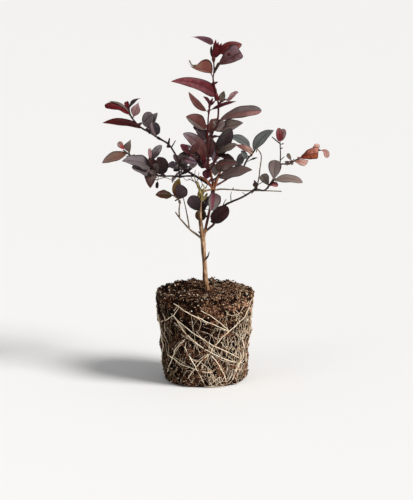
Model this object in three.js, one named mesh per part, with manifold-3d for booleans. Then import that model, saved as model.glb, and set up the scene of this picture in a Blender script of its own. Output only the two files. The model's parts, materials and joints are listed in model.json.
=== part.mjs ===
// A young dwarf crape myrtle with dark purple leaves, standing on its own root ball.
// Millimetres, +Z up. The origin is the centre of the root ball's flat underside, +X is right and +Y is back.
// Places on the plant are [right, back, up] from the middle of the soil's surface, so the plant keeps its
// shape when the root ball changes height.
import * as THREE from "three";
import { mergeVertices } from "three/addons/utils/BufferGeometryUtils.js";
import Module from "manifold-3d";

const wasm = await Module();
wasm.setup();

// Root ball
const BALL_HEIGHT = 45;
const BALL_TOP_RADIUS = 24.4;
const BALL_FOOT_RADIUS = 20.8;
const BALL_FOOT_BEVEL = [1.2, 0.2, 0.9];
const BALL_SIDES = 30;
const BALL_ROWS = 6;
const BALL_RIM = 1.3;
const SOIL_DOME = 0.7;
const SOIL_LUMP = 0.38;
const SEAT_RADIUS = 3.4;
const ROOT_RADIUS = 0.55;
const ROOT_TIP_RADIUS = 0.3;
const ROOT_STANDS_OUT = 0.12;
const ROOT_STEPS = 4;
const BACK_ROOTS = 8;
const BACK_ROOT_SEED = 7;

// Wood
const CLEAR = 0.3;
const TRUNK_SIDES = 9;
const LIMB_SIDES = 5;
const TWIG_SIDES = 4;
const STEPS_PER_RUN = 2;
const STEM_RADII = [0.46, 0.34];
const TWIG_RADII = [0.34, 0.28];

// Leaves
const LEAF_THICKNESS = 0.42;
const STALK_RADIUS = 0.27;
const STALK_SHARE = 0.1;
const FOOT_SUNK = 0.2;
const BLADE_STATIONS = [0.16, 0.45, 0.8];
const SHORT_BLADE_STATIONS = [0.25, 0.7];
const LONG_LEAF = 11;
const LEAF_FOLD = 0.22;
const BLUNT = 1.3;
const ORDINARY = 0.85;
const TAILED = 0.62;
const SMALLEST_GAP = 0.6;

// The direction that a leaf turned by 0 degrees faces: level with the eye of someone in front of the plant,
// who looks down at it a little. At 90 degrees the leaf faces straight up.
const EYE_HEIGHT = THREE.MathUtils.degToRad(12.5);
const TO_EYE = new THREE.Vector3(0, -Math.cos(EYE_HEIGHT), Math.sin(EYE_HEIGHT));
const UP = new THREE.Vector3(0, 0, 1);

const COLOURS = {
  soil: 0x35281f,
  paleBark: 0xb79a72,
  darkBark: 0x5d4438,
  redBark: 0x5a2a26,
  deadBark: 0x8a7868,
  crimsonLeaf: 0x5c1820,
  plumLeaf: 0x44303a,
  mauveLeaf: 0x5e4a50,
  rustLeaf: 0x8a4a44,
  blackLeaf: 0x2e2226,
};

// The trunk: [right, back, up, radius] from its flat foot, over the root flare and the fork, to the
// gnarled stub where its old leader was cut.
const TRUNK = [
  [1.35, 0, 1.0, 2.1],
  [1.1, 0, 2.2, 1.65],
  [0.3, 0, 5.6, 1.35],
  [0, 0.1, 11, 1.25],
  [-0.3, 0.2, 16, 1.2],
  [-0.8, 0.2, 21, 1.22],
  [-1.1, 0.1, 26, 1.32],
  [-1.6, 0, 30, 1.15],
  [-2.3, 0, 36.4, 0.95],
  [-2.5, 0, 43, 0.85],
  [-2.5, 0, 46.6, 1.1],
  [-2.1, 0, 48.6, 1.85],
  [-1.8, 0, 50.4, 1.7],
  [-2.3, 0, 51.4, 0.9],
];
const TRUNK_SPURS = [
  { route: [[0.3, -0.6, 16.4], [1.5, -1.1, 18.2], [2.1, -1.3, 20.2]], radii: [0.55, 0.22] },
  { route: [[-1.6, 0.1, 29], [-3.2, -0.4, 30.4]], radii: [0.6, 0.3] },
];

// Each limb is one tapering piece, cut clear of the limb that carries it.
const LIMBS = {
  leader_bough: {
    carrier: "trunk",
    colour: "redBark",
    radii: [0.72, 0.45],
    route: [
      [-0.6, -0.2, 28], [0.7, -0.6, 34], [2.3, -0.8, 41.7], [4, -0.5, 51.8], [3.5, 0, 56.8],
      [1.6, 0.5, 64.4], [2.4, 1, 75], [4.2, 1, 82], [6.4, 0.8, 88], [6.6, 0.4, 95], [6, 0, 98.8],
    ],
    knots: [[3, 1.5, 0.5], [10, 1, 0.3]],
  },
  left_bough: {
    carrier: "leader_bough",
    colour: "darkBark",
    radii: [0.62, 0.42],
    route: [
      [3.4, 0, 53.6], [-1, 0.8, 56.2], [-5, 2, 58.5], [-9, 4, 60.6], [-12.5, 5.5, 63.8],
      [-15.5, 7.5, 69.5], [-18.5, 9, 73.3], [-23.5, 11, 76],
    ],
    knots: [[7, 1, 0.35]],
  },
  left_middle_bough: {
    carrier: "left_bough",
    colour: "darkBark",
    radii: [0.52, 0.36],
    route: [[-5.2, 1.8, 58.4], [-9, -1.2, 59], [-12.5, -3.5, 59.2], [-16.5, -5.2, 59.8], [-20, -6.7, 60]],
    knots: [[2, 1, 0.4]],
  },
  upper_right_bough: {
    carrier: "leader_bough",
    colour: "redBark",
    radii: [0.55, 0.38],
    route: [[4, -0.2, 53.2], [8.5, 3, 55], [13.5, 6, 57.8], [19, 10, 60.8]],
  },
  right_low_bough: {
    carrier: "leader_bough",
    colour: "darkBark",
    radii: [0.62, 0.4],
    route: [
      [0.1, -0.4, 30.6], [2.4, -1, 32.6], [4.5, -1.5, 34.8], [7, -2.2, 40], [9.5, -3, 44.2],
      [13.5, -4, 46.6], [17.5, -5, 48.5], [21.5, -6.1, 51], [25, -7, 53.4], [29, -8, 53], [31, -8.5, 54.4],
    ],
    knots: [[8, 0.8, 0.3]],
  },
  low_left_bough: {
    carrier: "trunk",
    colour: "deadBark",
    radii: [0.6, 0.3],
    route: [[-1.6, 0, 27], [-4.8, -0.8, 29.6], [-7.5, -1.5, 31.8], [-12.5, -3, 37.8], [-14.6, -3.6, 41]],
  },
  low_left_twig: {
    carrier: "low_left_bough",
    colour: "deadBark",
    radii: [0.42, 0.32],
    route: [[-12.7, -3.1, 38.3], [-12.9, -4, 42.4], [-12.5, -5, 46.2]],
  },
  dead_left_twig: {
    carrier: "low_left_bough",
    colour: "deadBark",
    radii: [0.4, 0.24],
    route: [[-7.8, -1.6, 32.2], [-8.4, -1, 36], [-9.6, -1.2, 42.5], [-11, -1.6, 48.8]],
  },
  bare_right_twig: {
    carrier: "leader_bough",
    colour: "darkBark",
    radii: [0.42, 0.26],
    route: [[4, -0.6, 51.6], [8, -1.2, 52.3], [13.5, -2, 52.2], [21, -2.8, 51.9], [29, -3.4, 52], [38, -4, 51.8]],
  },
  bare_right_tendril: {
    carrier: "right_low_bough",
    colour: "darkBark",
    radii: [0.34, 0.24],
    route: [
      [25.6, -7.2, 53.5], [26.8, -7.7, 59.7], [27.2, -8, 63.8], [27.9, -8, 69], [27.6, -8, 71.6],
      [26, -8, 74], [25.5, -8, 72.6],
    ],
  },
  back_bough: {
    carrier: "leader_bough",
    colour: "redBark",
    radii: [0.55, 0.38],
    route: [[3.5, -0.2, 57.2], [3, 6, 58.4], [1.6, 11, 59.6], [1, 15, 61]],
  },
};

// Each spray is one stem with its twigs and leaves. A leaf is [place on the twig from 0 to 1, reach from foot to
// tip, width, turn from the eye to the sky, arch, form of the outline, share of the reach that is stalk].
const SPRAYS = {
  tip_spray: {
    carrier: "leader_bough",
    colour: "crimsonLeaf",
    stem: [[6, 0, 99.2], [5, 0, 103], [4, 0, 108], [4.5, 0, 112], [4.2, 0, 118.5]],
    leaves: [
      [0.03, [-22.8, -6, 8.7], 7, 32, 3.6],
      [0.62, [-11.8, -4, 7.2], 7.6, 25, 1.8, 0.5, 0.12],
      [1, [0.7, -0.6, 8.4], 1.9, 20, 0],
      [1, [2.4, 0.6, 7.8], 1.9, 20, 0],
      [0.98, [10, 0.4, 7.6], 5.6, 40, 2.2, ORDINARY, 0.28],
      [0.28, [-6, 8, 0.4], 4.6, 80, 0.8],
      [0.34, [3.4, -5, 0.4], 2.6, 70, 0.4],
    ],
    twigs: [
      { route: [[4.2, 0, 118], [4.2, -0.8, 124.6]], leaves: [[0.96, [-11.4, -2, 5.6], 4, 50, 1, TAILED]] },
      { route: [[4.5, 0, 111.8], [6, -0.5, 115], [6.9, -1, 116.6]], leaves: [[0.96, [12, -3, 8.2], 7.4, 15, 0.3, BLUNT]] },
    ],
  },
  shoulder_spray: {
    carrier: "leader_bough",
    colour: "plumLeaf",
    stem: [[6.6, 0.4, 95.2], [8.4, 0.3, 96.4], [10, 0.3, 97.5]],
    leaves: [
      [0.55, [1.4, 0.4, 5.4], 3.2, 35, 0],
      [0.97, [6.6, -1, 3.9], 3.6, 50, 0.8],
      [0.6, [-1.4, 7.5, -0.8], 4, 80, 0.8],
    ],
  },
  right_crown_spray: {
    carrier: "leader_bough",
    colour: "plumLeaf",
    stem: [[4.2, 0.6, 81.6], [5.6, -1.4, 84.3], [7, -2.4, 87.5]],
    leaves: [
      [0.12, [14.8, -3.4, 4.4], 4.6, 40, -0.4],
      [0.97, [21, -4, 5.9], 6.6, 25, 1.6, 1.15],
      [0.7, [-3.4, -1.6, 3.4], 3, 20, 0],
    ],
  },
  second_shoot: {
    carrier: "leader_bough",
    colour: "plumLeaf",
    stem: [[1.6, 0.2, 66.4], [1.2, -3, 76.5], [1.6, -4, 88.5], [2.3, -4, 95.4]],
    leaves: [
      [0.35, [-7.6, -2.4, 6.6], 5.6, 30, 0],
      [0.44, [-6.4, 1.6, 8], 5, 35, 0],
      [0.69, [-11, -4, 2.6], 7.6, 25, 0],
      [0.81, [-9.8, -2.6, 11], 4.8, 15, 0.3],
      [0.84, [12.6, -2.4, 5.6], 3.8, 65, 0.6],
      [0.98, [-2.8, -0.6, 5.2], 1.9, 30, 0.3],
      [1, [1.8, 0.2, 3.8], 1.7, 30, 0],
    ],
  },
  front_left_spray: {
    carrier: "leader_bough",
    colour: "mauveLeaf",
    stem: [[1.4, 0.2, 62.4], [-2.5, -6, 66.6], [-7.5, -11, 72]],
    leaves: [
      [0.2, [-10, -8, 17.6], 6.6, 20, 0.6],
      [0.28, [-2, -5.4, 5.2], 3.2, 25, 1],
      [0.5, [-9.4, -5, 1.6], 6, 40, 0.8],
      [0.9, [-7, -3, 2.2], 4, 45, 0.5],
      [0.98, [-5, -2.4, 5.4], 3.6, 30, 0],
      [0.97, [4, -1, 5.2], 3.6, 30, 0],
      [0.55, [1.6, -7, -3], 3.6, 75, 0.4],
    ],
  },
  front_right_spray: {
    carrier: "leader_bough",
    colour: "plumLeaf",
    stem: [[2.4, 0.2, 61], [4.5, -5, 66.1], [5.5, -9, 70.6], [6.5, -12, 74.9]],
    leaves: [
      [0.2, [11.6, -9, 4.4], 5.4, 40, 0.4],
      [0.52, [8.2, -2.6, 17], 7, 20, 0],
      [0.74, [8.2, -7.4, 0.4], 4, 60, 0.5],
      [0.8, [10.2, -4.6, 6.9], 5.2, 40, 0.4],
      [0.98, [-2.4, -4.6, 4.4], 3.6, 35, 0],
      [1, [2.6, -5.4, 2], 3.6, 50, 0.4],
    ],
  },
  low_front_spray: {
    carrier: "leader_bough",
    colour: "mauveLeaf",
    stem: [[3.8, -0.4, 56.4], [4.6, -2.6, 57.4], [5, -4.4, 58.2]],
    leaves: [
      [0.97, [18.3, -9.6, 6.6], 7.2, 40, 1],
      [0.7, [3, -3.6, 3], 2.8, 50, 0.4],
      [0.96, [-3.6, -8.4, 0.6], 4.2, 70, 0.8],
    ],
  },
  hanging_spray: {
    carrier: "leader_bough",
    colour: "mauveLeaf",
    stem: [[3.9, -0.9, 50.6], [4.3, -3.6, 51.4]],
    leaves: [
      [0.95, [-1.2, -11, -6.8], 8.6, 75, 1.2, 1],
    ],
  },
  upper_left_spray: {
    carrier: "left_bough",
    colour: "crimsonLeaf",
    stem: [
      [-23.9, 11.2, 76.2], [-26.5, 12.5, 77.6], [-29, 13.5, 78.9], [-32.5, 14.5, 81],
      [-36.5, 16, 85.1], [-38.5, 17, 89.9],
    ],
    leaves: [
      [0.06, [-2.4, -3, 8.8], 6.4, 20, 0.3, 1.15],
      [0.4, [1.4, 1.6, 9], 6, 10, 0.3, 1.05],
      [0.42, [-22.4, -1.6, 4.2], 6.2, 45, 2],
      [0.78, [3, 2, 8.8], 5.2, 20, 0.2],
      [0.84, [-13.2, -3, 5.3], 5.2, 40, 1.5],
      [0.95, [6.7, 0.8, 5.6], 2.8, 30, 1],
      [1, [-2, 0, 4], 1.9, 30, 0],
      [0.98, [-0.2, 1.2, 4.2], 1.8, 30, 0],
      [0.24, [-3.4, 9, -0.8], 5, 80, 0.8],
      [0.6, [-4.4, 8, -0.4], 4.6, 80, 0.8],
      [0.62, [5, -6, 3], 4.4, 75, 0.6],
    ],
  },
  low_left_spray: {
    carrier: "left_middle_bough",
    colour: "mauveLeaf",
    stem: [[-20.5, -7.2, 60.1], [-24.2, -8.1, 60.9], [-26.3, -9, 62.9], [-27.5, -10, 66.7], [-27, -10.5, 69.4]],
    leaves: [
      [0.05, [-1.4, -4.6, 10.6], 8, 20, 0.4, 1],
      [0.45, [-2.8, -4.4, -6.8], 5.6, 30, 0.4],
      [0.4, [-10, -6, 4], 5, 50, 0.8],
      [0.72, [-13, -5.4, 4.4], 6, 45, 0.8],
      [0.98, [-0.4, 1.4, 5.8], 3, 30, 0],
      [0.9, [5.2, 2.2, 7.4], 4.6, 20, 0.3],
      [0.22, [-1.2, -1, -6], 2.2, 70, 0.2],
      [0.2, [2.4, -8, -1], 4.2, 75, 0.6],
    ],
  },
  left_end_spray: {
    carrier: "left_middle_bough",
    colour: "rustLeaf",
    stem: [[-20.4, -5.9, 60.6], [-26, -5.4, 64.5], [-32.5, -6.4, 68.2], [-36, -7.6, 70], [-40, -8.6, 73.2]],
    leaves: [
      [0.9, [-12.6, -3.8, -4], 6.8, 30, 1.8],
      [0.98, [-3.6, -1, 4.2], 3.2, 50, 0.6],
      [0.84, [0.6, 1.3, 7.2], 4.6, 25, 0],
      [0.42, [-5, 8, -1.4], 5, 80, 0.8],
      [0.7, [-3, 9, -1.6], 4.6, 80, 0.8],
      [0.3, [3, 8.6, -2], 4.4, 80, 0.6],
    ],
  },
  left_fork_spray: {
    carrier: "left_middle_bough",
    colour: "blackLeaf",
    stem: [[-12.5, -3.5, 59.4], [-13, -2.9, 62], [-13, -2.4, 64.9]],
    leaves: [
      [0.4, [6.6, -3, 2.6], 2.8, 60, 0.4],
      [0.45, [-3.4, -1.6, 0.8], 2.2, 40, 0],
      [1, [-5.5, -3.6, 0.4], 3.6, 50, 0.6],
      [0.95, [4.6, -2, -0.6], 2.6, 50, 0.4],
    ],
  },
  low_left_leaves: {
    carrier: "low_left_twig",
    colour: "blackLeaf",
    stem: [[-12.5, -5.1, 46.6], [-13.6, -6, 48.4], [-15.5, -7, 50.2]],
    leaves: [
      [0.3, [-1.6, -3.4, 8.8], 5.4, 20, 0.3],
      [0.2, [4.6, -2.8, 8.4], 6.4, 20, 0.3, 1],
      [0.98, [-9, -4, 1.2], 5.6, 40, 0.5],
    ],
  },
  trunk_left_leaf: {
    carrier: "trunk",
    colour: "blackLeaf",
    stem: [[-2.7, -0.4, 40.8], [-3.2, -2.4, 41.5]],
    leaves: [
      [0.9, [-4.8, -2.8, 8.2], 7.4, 15, 0.2, 1],
    ],
  },
  low_right_leaf: {
    carrier: "right_low_bough",
    colour: "blackLeaf",
    stem: [[4.5, -1.6, 35], [4.6, -4.2, 36]],
    leaves: [
      [0.9, [5, -2.8, 8.6], 8.6, 12, 0.2, 1],
    ],
  },
  upper_right_spray: {
    carrier: "upper_right_bough",
    colour: "mauveLeaf",
    stem: [[19.3, 10.2, 61.2], [20.7, 11, 64.2], [22.5, 12, 66.4], [25, 13, 69.3]],
    leaves: [
      [0.42, [-3, 0.2, 5.6], 3.8, 30, 0],
      [0.25, [6, -2.6, 2.8], 2.4, 65, 0.3],
      [0.8, [-11, 2.6, 9], 4.8, 35, 0.8, ORDINARY, 0.2],
      [0.85, [-9.3, -4.4, 5], 5, 45, 1.6],
      [1, [9.8, 3, 10.1], 5, 25, 1.3],
      [0.55, [1, 8, 0], 5, 80, 0.8],
    ],
  },
  mid_right_spray: {
    carrier: "right_low_bough",
    colour: "mauveLeaf",
    stem: [[31.3, -8.7, 54.8], [32.5, -9.4, 56.8], [34, -10, 58.6]],
    leaves: [
      [0.15, [-2.2, -2.6, 6.2], 5.2, 15, 0.2],
      [0.3, [4.2, -3.4, -0.4], 3.4, 45, 0.6],
      [1, [1, -1.4, 10.2], 7.4, 15, 0.3, BLUNT],
      [0.95, [14.4, -4.6, 0.2], 6.4, 50, 1.2, 1],
    ],
  },
  far_right_spray: {
    carrier: "right_low_bough",
    colour: "rustLeaf",
    stem: [
      [31.2, -7.6, 54.6], [34.5, -6, 59.4], [37, -4.4, 65.2], [41.5, -3, 65.4], [44, -1.5, 66.4],
      [49, 0, 68.6], [57, 1.5, 71.6],
    ],
    leaves: [
      [0.64, [-2.4, -1.4, 3.6], 2.5, 30, 0],
      [0.68, [6.6, -3.8, -1.7], 4.6, 40, 0.5],
      [0.78, [8.8, -3.8, 3.2], 7.4, 25, 0.6],
      [0.95, [2.2, 2.6, 3], 3, 40, 0.3],
      [1, [3.4, -1.4, -4.2], 4, 20, 0.4],
      [0.45, [3, 9, -2], 4, 80, 0.8],
      [0.6, [-2, 8.6, -1.8], 3.8, 80, 0.8],
      [0.75, [3.6, 7.6, -1], 3.6, 80, 0.6],
    ],
    twigs: [
      {
        route: [[37.3, -4.4, 65.3], [37.5, -4.6, 71], [36.5, -4.5, 76.8]],
        leaves: [
          [0.97, [-1.4, -1.8, 7.4], 4, 30, 0],
          [1, [3, 1.4, 6.2], 4, 35, 0.3],
          [0.5, [3, -0.6, 1.6], 1.4, 40, 0],
        ],
      },
    ],
  },
  back_left_spray: {
    carrier: "back_bough",
    colour: "plumLeaf",
    stem: [[0.6, 15.4, 61.4], [-2.6, 21, 63.4], [-4.4, 27, 66]],
    grown: { seed: 21, pairs: 5, leaf: [8, 13], space: [[-12, 12, 48], [6, 40, 76]] },
  },
  back_right_spray: {
    carrier: "back_bough",
    colour: "mauveLeaf",
    stem: [[1.4, 15.4, 60.9], [4.6, 21, 61.6], [7.4, 28, 63.4]],
    grown: { seed: 34, pairs: 5, leaf: [8, 13], space: [[0, 12, 48], [12, 41, 74]] },
  },
  high_back_spray: {
    carrier: "leader_bough",
    colour: "plumLeaf",
    stem: [[2.6, 1.2, 76.4], [2.6, 8, 78], [2.2, 15, 80.4]],
    grown: { seed: 5, pairs: 4, leaf: [7, 11], space: [[-8, 3, 68], [14, 26, 90]] },
  },
  low_back_spray: {
    carrier: "trunk",
    colour: "blackLeaf",
    stem: [[-2.3, 0.6, 35.6], [-2.4, 6, 37.6], [-2.6, 12, 40.6]],
    leaves: [[0.1, [-0.6, 3, 6.4], 6.4, 20, 0.2, 1]],
    grown: { seed: 11, pairs: 4, leaf: [7, 10], space: [[-5, 2, 33], [9, 24, 49]] },
  },
  right_back_spray: {
    carrier: "upper_right_bough",
    colour: "plumLeaf",
    stem: [[13.2, 5.9, 58], [15, 12, 59.4], [16, 19, 61.6]],
    grown: { seed: 8, pairs: 4, leaf: [7, 11], space: [[12.6, 9, 55], [22, 31, 74]] },
  },
  left_back_spray: {
    carrier: "left_bough",
    colour: "mauveLeaf",
    stem: [[-9.1, 4, 60.6], [-11, 11, 60], [-12.5, 18, 61.5]],
    grown: { seed: 13, pairs: 4, leaf: [7, 11], space: [[-20, 6, 50], [-5, 30, 69]] },
  },
};

// Roots on the front of the ball as [start, middle, end], each [degrees right of the front, height].
const FRONT_ROOTS = [
  [[-39, 43], [-6, 36.4], [31, 28.9]],
  [[-5, 40.4], [13, 35.8], [30, 29.6]],
  [[31, 28.9], [56, 35.5], [73, 42.6]],
  [[31, 28.9], [18, 24.8], [8, 19.2]],
  [[-42, 36.4], [0, 24.9], [51, 13.7]],
  [[-36, 33.9], [-5, 21.8], [44, 12.1]],
  [[-70, 31], [-44, 36], [-32, 41.8]],
  [[-26, 25], [-46, 16.1], [-60, 6]],
  [[-27, 21.2], [-15, 12.8], [-2, 3]],
  [[-58, 15], [-24, 10.8], [10, 8]],
  [[5, 17.6], [-10, 11.8], [-24, 4.5]],
  [[9, 16.6], [22, 9.8], [30, 2.6]],
  [[56, 24], [60, 17], [48, 7]],
  [[74, 38], [78, 25], [70, 12]],
  [[-84, 38], [-74, 24], [-82, 9]],
];

// Helpers for solids

function vector(place) {
  return new THREE.Vector3(place[0], place[1], place[2]);
}

// A place on the plant, measured from the soil's surface, in the part's own frame.
function onPlant(place) {
  return new THREE.Vector3(place[0], place[1], place[2] + BALL_HEIGHT);
}

function solidFrom(geometry) {
  const bare = geometry.clone();
  for (const name of Object.keys(bare.attributes)) {
    if (name !== "position") {
      bare.deleteAttribute(name);
    }
  }
  const merged = mergeVertices(bare, 1e-4);
  return new wasm.Manifold(
    new wasm.Mesh({
      numProp: 3,
      vertProperties: new Float32Array(merged.attributes.position.array),
      triVerts: new Uint32Array(merged.index.array),
    }),
  );
}

function geometryFrom(solid) {
  const mesh = solid.getMesh();
  const geometry = new THREE.BufferGeometry();
  geometry.setAttribute("position", new THREE.BufferAttribute(mesh.vertProperties, 3));
  geometry.setIndex(new THREE.BufferAttribute(mesh.triVerts, 1));
  geometry.computeVertexNormals();
  return geometry;
}

function geometryOfFaces(points, faces) {
  const geometry = new THREE.BufferGeometry();
  geometry.setAttribute("position", new THREE.Float32BufferAttribute(points.flatMap((p) => p.toArray()), 3));
  geometry.setIndex(faces);
  return geometry;
}

// Rings of equal count joined into one closed skin. An end without a point of its own gets a flat face.
function skinOf(rings, ends = []) {
  const sides = rings[0].length;
  const last = (rings.length - 1) * sides;
  const faces = [];
  for (let r = 0; r + 1 < rings.length; r++) {
    for (let s = 0; s < sides; s++) {
      const a = r * sides + s;
      const b = r * sides + ((s + 1) % sides);
      faces.push(a, b, b + sides, a, b + sides, a + sides);
    }
  }
  if (ends.length) {
    const point = rings.length * sides;
    for (let s = 0; s < sides; s++) {
      const t = (s + 1) % sides;
      faces.push(point, t, s);
      faces.push(point + 1, last + s, last + t);
    }
  } else {
    for (let s = 1; s + 1 < sides; s++) {
      faces.push(0, s + 1, s);
      faces.push(last, last + s, last + s + 1);
    }
  }
  return solidFrom(geometryOfFaces([...rings.flat(), ...ends], faces));
}

function routeOf(places) {
  return new THREE.CatmullRomCurve3(places.map(onPlant), false, "catmullrom", 0.5);
}

// A round limb along points, with its own radius at each, its rings kept square to the run.
function tube(points, radii, sides, levelFoot = false) {
  const rings = [];
  let across = new THREE.Vector3(0, 1, 0);
  points.forEach((point, i) => {
    const next = points[Math.min(i + 1, points.length - 1)];
    const before = points[Math.max(i - 1, 0)];
    const run = next.clone().sub(before).normalize();
    if (levelFoot && i === 0) {
      run.copy(UP);
    }
    across = across.clone().addScaledVector(run, -across.dot(run)).normalize();
    const over = run.clone().cross(across);
    const ring = [];
    for (let s = 0; s < sides; s++) {
      const turn = (s / sides) * 2 * Math.PI;
      ring.push(
        point.clone()
          .addScaledVector(across, radii[i] * Math.cos(turn))
          .addScaledVector(over, radii[i] * Math.sin(turn)),
      );
    }
    rings.push(ring);
  });
  return skinOf(rings);
}

// Each knot is [run, reach in runs, swell], counted along the places.
function taperedTube(places, radii, sides, knots = []) {
  const route = routeOf(places);
  const runs = places.length - 1;
  const steps = runs * STEPS_PER_RUN;
  const points = [];
  const sizes = [];
  for (let i = 0; i <= steps; i++) {
    const t = i / steps;
    points.push(route.getPoint(t));
    let size = THREE.MathUtils.lerp(radii[0], radii[1], t);
    for (const [place, reach, swell] of knots) {
      size += swell * Math.max(0, 1 - Math.abs(t * runs - place) / (reach * 0.5));
    }
    sizes.push(size);
  }
  return tube(points, sizes, sides);
}

function biggestPiece(solid) {
  return solid.decompose().reduce((most, piece) => (piece.volume() > most.volume() ? piece : most));
}

// A small generator of whole numbers gives the grown leaves their turns and sizes.
function drawsFrom(seed) {
  let state = seed >>> 0;
  return () => {
    state = (Math.imul(state, 1664525) + 1013904223) >>> 0;
    return state / 4294967296;
  };
}

// Root ball

function ballRadius(height) {
  return THREE.MathUtils.lerp(BALL_FOOT_RADIUS, BALL_TOP_RADIUS, height / BALL_HEIGHT);
}

function lump(turn, height) {
  return (
    SOIL_LUMP *
    (Math.sin(5 * turn + 0.31 * height) +
      0.8 * Math.sin(9 * turn - 0.53 * height + 2) +
      0.6 * Math.sin(14 * turn + 0.9 * height + 4))
  );
}

// The profile goes from the middle of the underside, up the side and in over the soil to the trunk's seat.
function soil() {
  const seatHeight = BALL_HEIGHT + SOIL_DOME;
  const [flatInset, bevelInset, bevelHeight] = BALL_FOOT_BEVEL;
  const profile = [
    [0, 0],
    [BALL_FOOT_RADIUS - flatInset, 0],
    [BALL_FOOT_RADIUS - bevelInset, bevelHeight],
  ];
  for (let i = 1; i <= BALL_ROWS; i++) {
    const height = (i / (BALL_ROWS + 0.35)) * (BALL_HEIGHT - BALL_RIM);
    profile.push([ballRadius(height), height]);
  }
  profile.push(
    [BALL_TOP_RADIUS - 0.5, BALL_HEIGHT - 0.3],
    [BALL_TOP_RADIUS - 3, BALL_HEIGHT + 0.1],
    [BALL_TOP_RADIUS * 0.62, BALL_HEIGHT + 0.3],
    [BALL_TOP_RADIUS * 0.36, BALL_HEIGHT + 0.5],
    [SEAT_RADIUS, seatHeight],
    [0, seatHeight],
  );
  const turned = new THREE.LatheGeometry(profile.map(([r, h]) => new THREE.Vector2(r, h)), BALL_SIDES);
  turned.rotateX(Math.PI / 2);
  const places = turned.attributes.position;
  for (let i = 0; i < places.count; i++) {
    const place = new THREE.Vector3().fromBufferAttribute(places, i);
    const reach = Math.hypot(place.x, place.y);
    if (place.z < 0.01 || reach < SEAT_RADIUS + 0.1) {
      continue;
    }
    const turn = Math.round(Math.atan2(place.y, place.x) * 1e4) / 1e4;
    const wrapped = turn <= -3.1415 ? turn + 6.2832 : turn;
    const out = lump(wrapped, place.z);
    if (place.z < BALL_HEIGHT - BALL_RIM) {
      place.x *= 1 + out / reach;
      place.y *= 1 + out / reach;
    } else {
      place.z += 0.6 * lump(wrapped * 0.9 + reach * 0.4, reach * 1.7);
    }
    places.setXYZ(i, place.x, place.y, place.z);
  }
  return solidFrom(turned);
}

// A root lies on the ball's side, from its start through its middle to its end.
function sideRoot([start, middle, end]) {
  const points = [];
  const radii = [];
  const bend = new THREE.QuadraticBezierCurve(
    new THREE.Vector2(start[0], start[1]),
    new THREE.Vector2(2 * middle[0] - (start[0] + end[0]) / 2, 2 * middle[1] - (start[1] + end[1]) / 2),
    new THREE.Vector2(end[0], end[1]),
  );
  for (let i = 0; i <= ROOT_STEPS; i++) {
    const { x: degrees, y: height } = bend.getPoint(i / ROOT_STEPS);
    const turn = THREE.MathUtils.degToRad(degrees - 90);
    const out = ballRadius(height) + lump(turn, height) + ROOT_STANDS_OUT;
    points.push(new THREE.Vector3(out * Math.cos(turn), out * Math.sin(turn), height));
    radii.push(THREE.MathUtils.lerp(ROOT_RADIUS, ROOT_TIP_RADIUS, i / ROOT_STEPS));
  }
  return tube(points, radii, 3);
}

function backRoots() {
  const draw = drawsFrom(BACK_ROOT_SEED);
  const roots = [];
  for (let i = 0; i < BACK_ROOTS; i++) {
    const from = 95 + (i / BACK_ROOTS) * 170;
    const high = 24 + draw() * 18;
    const lean = (draw() - 0.5) * 70;
    const fall = 12 + draw() * (high - 15);
    roots.push([
      [from, high],
      [from + lean * 0.5 + (draw() - 0.5) * 16, high - fall * 0.55],
      [from + lean, high - fall],
    ]);
  }
  return roots;
}

function rootBall() {
  let ball = soil();
  for (const route of [...FRONT_ROOTS, ...backRoots()]) {
    ball = ball.add(sideRoot(route));
  }
  return biggestPiece(ball);
}

// Wood

function trunkSolid(extra = 0) {
  const route = routeOf(TRUNK);
  const runs = TRUNK.length - 1;
  const points = [];
  const radii = [];
  for (let i = 0; i <= runs * STEPS_PER_RUN; i++) {
    const low = Math.min(Math.floor(i / STEPS_PER_RUN), runs - 1);
    const share = i / STEPS_PER_RUN - low;
    points.push(route.getPoint(i / (runs * STEPS_PER_RUN)));
    radii.push(THREE.MathUtils.lerp(TRUNK[low][3], TRUNK[low + 1][3], share) + extra);
  }
  let trunk = tube(points, radii, TRUNK_SIDES, true);
  if (!extra) {
    for (const spur of TRUNK_SPURS) {
      trunk = trunk.add(taperedTube(spur.route, spur.radii, LIMB_SIDES));
    }
  }
  return trunk;
}

function limbSolid(limb, extra = 0) {
  const radii = limb.radii.map((radius) => radius + extra);
  return taperedTube(limb.route, radii, LIMB_SIDES, limb.knots);
}

// What is left of a piece beside the limb that carries it, with the working gap between them.
function besideCarrier(piece, carrier) {
  const wide = carrier === "trunk" ? trunkSolid(CLEAR) : limbSolid(LIMBS[carrier], CLEAR);
  return biggestPiece(piece.subtract(wide));
}

// Leaves

// The share of its full width that a blade has at t of its length. A blunt leaf is widest past its middle, and
// a tailed one near its foot.
function leafWidthAt(t, form) {
  return Math.pow(Math.sin(Math.PI * Math.pow(t, form)), 0.75);
}

function squareTo(direction, axis) {
  return direction.clone().addScaledVector(axis, -direction.dot(axis)).normalize();
}

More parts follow.
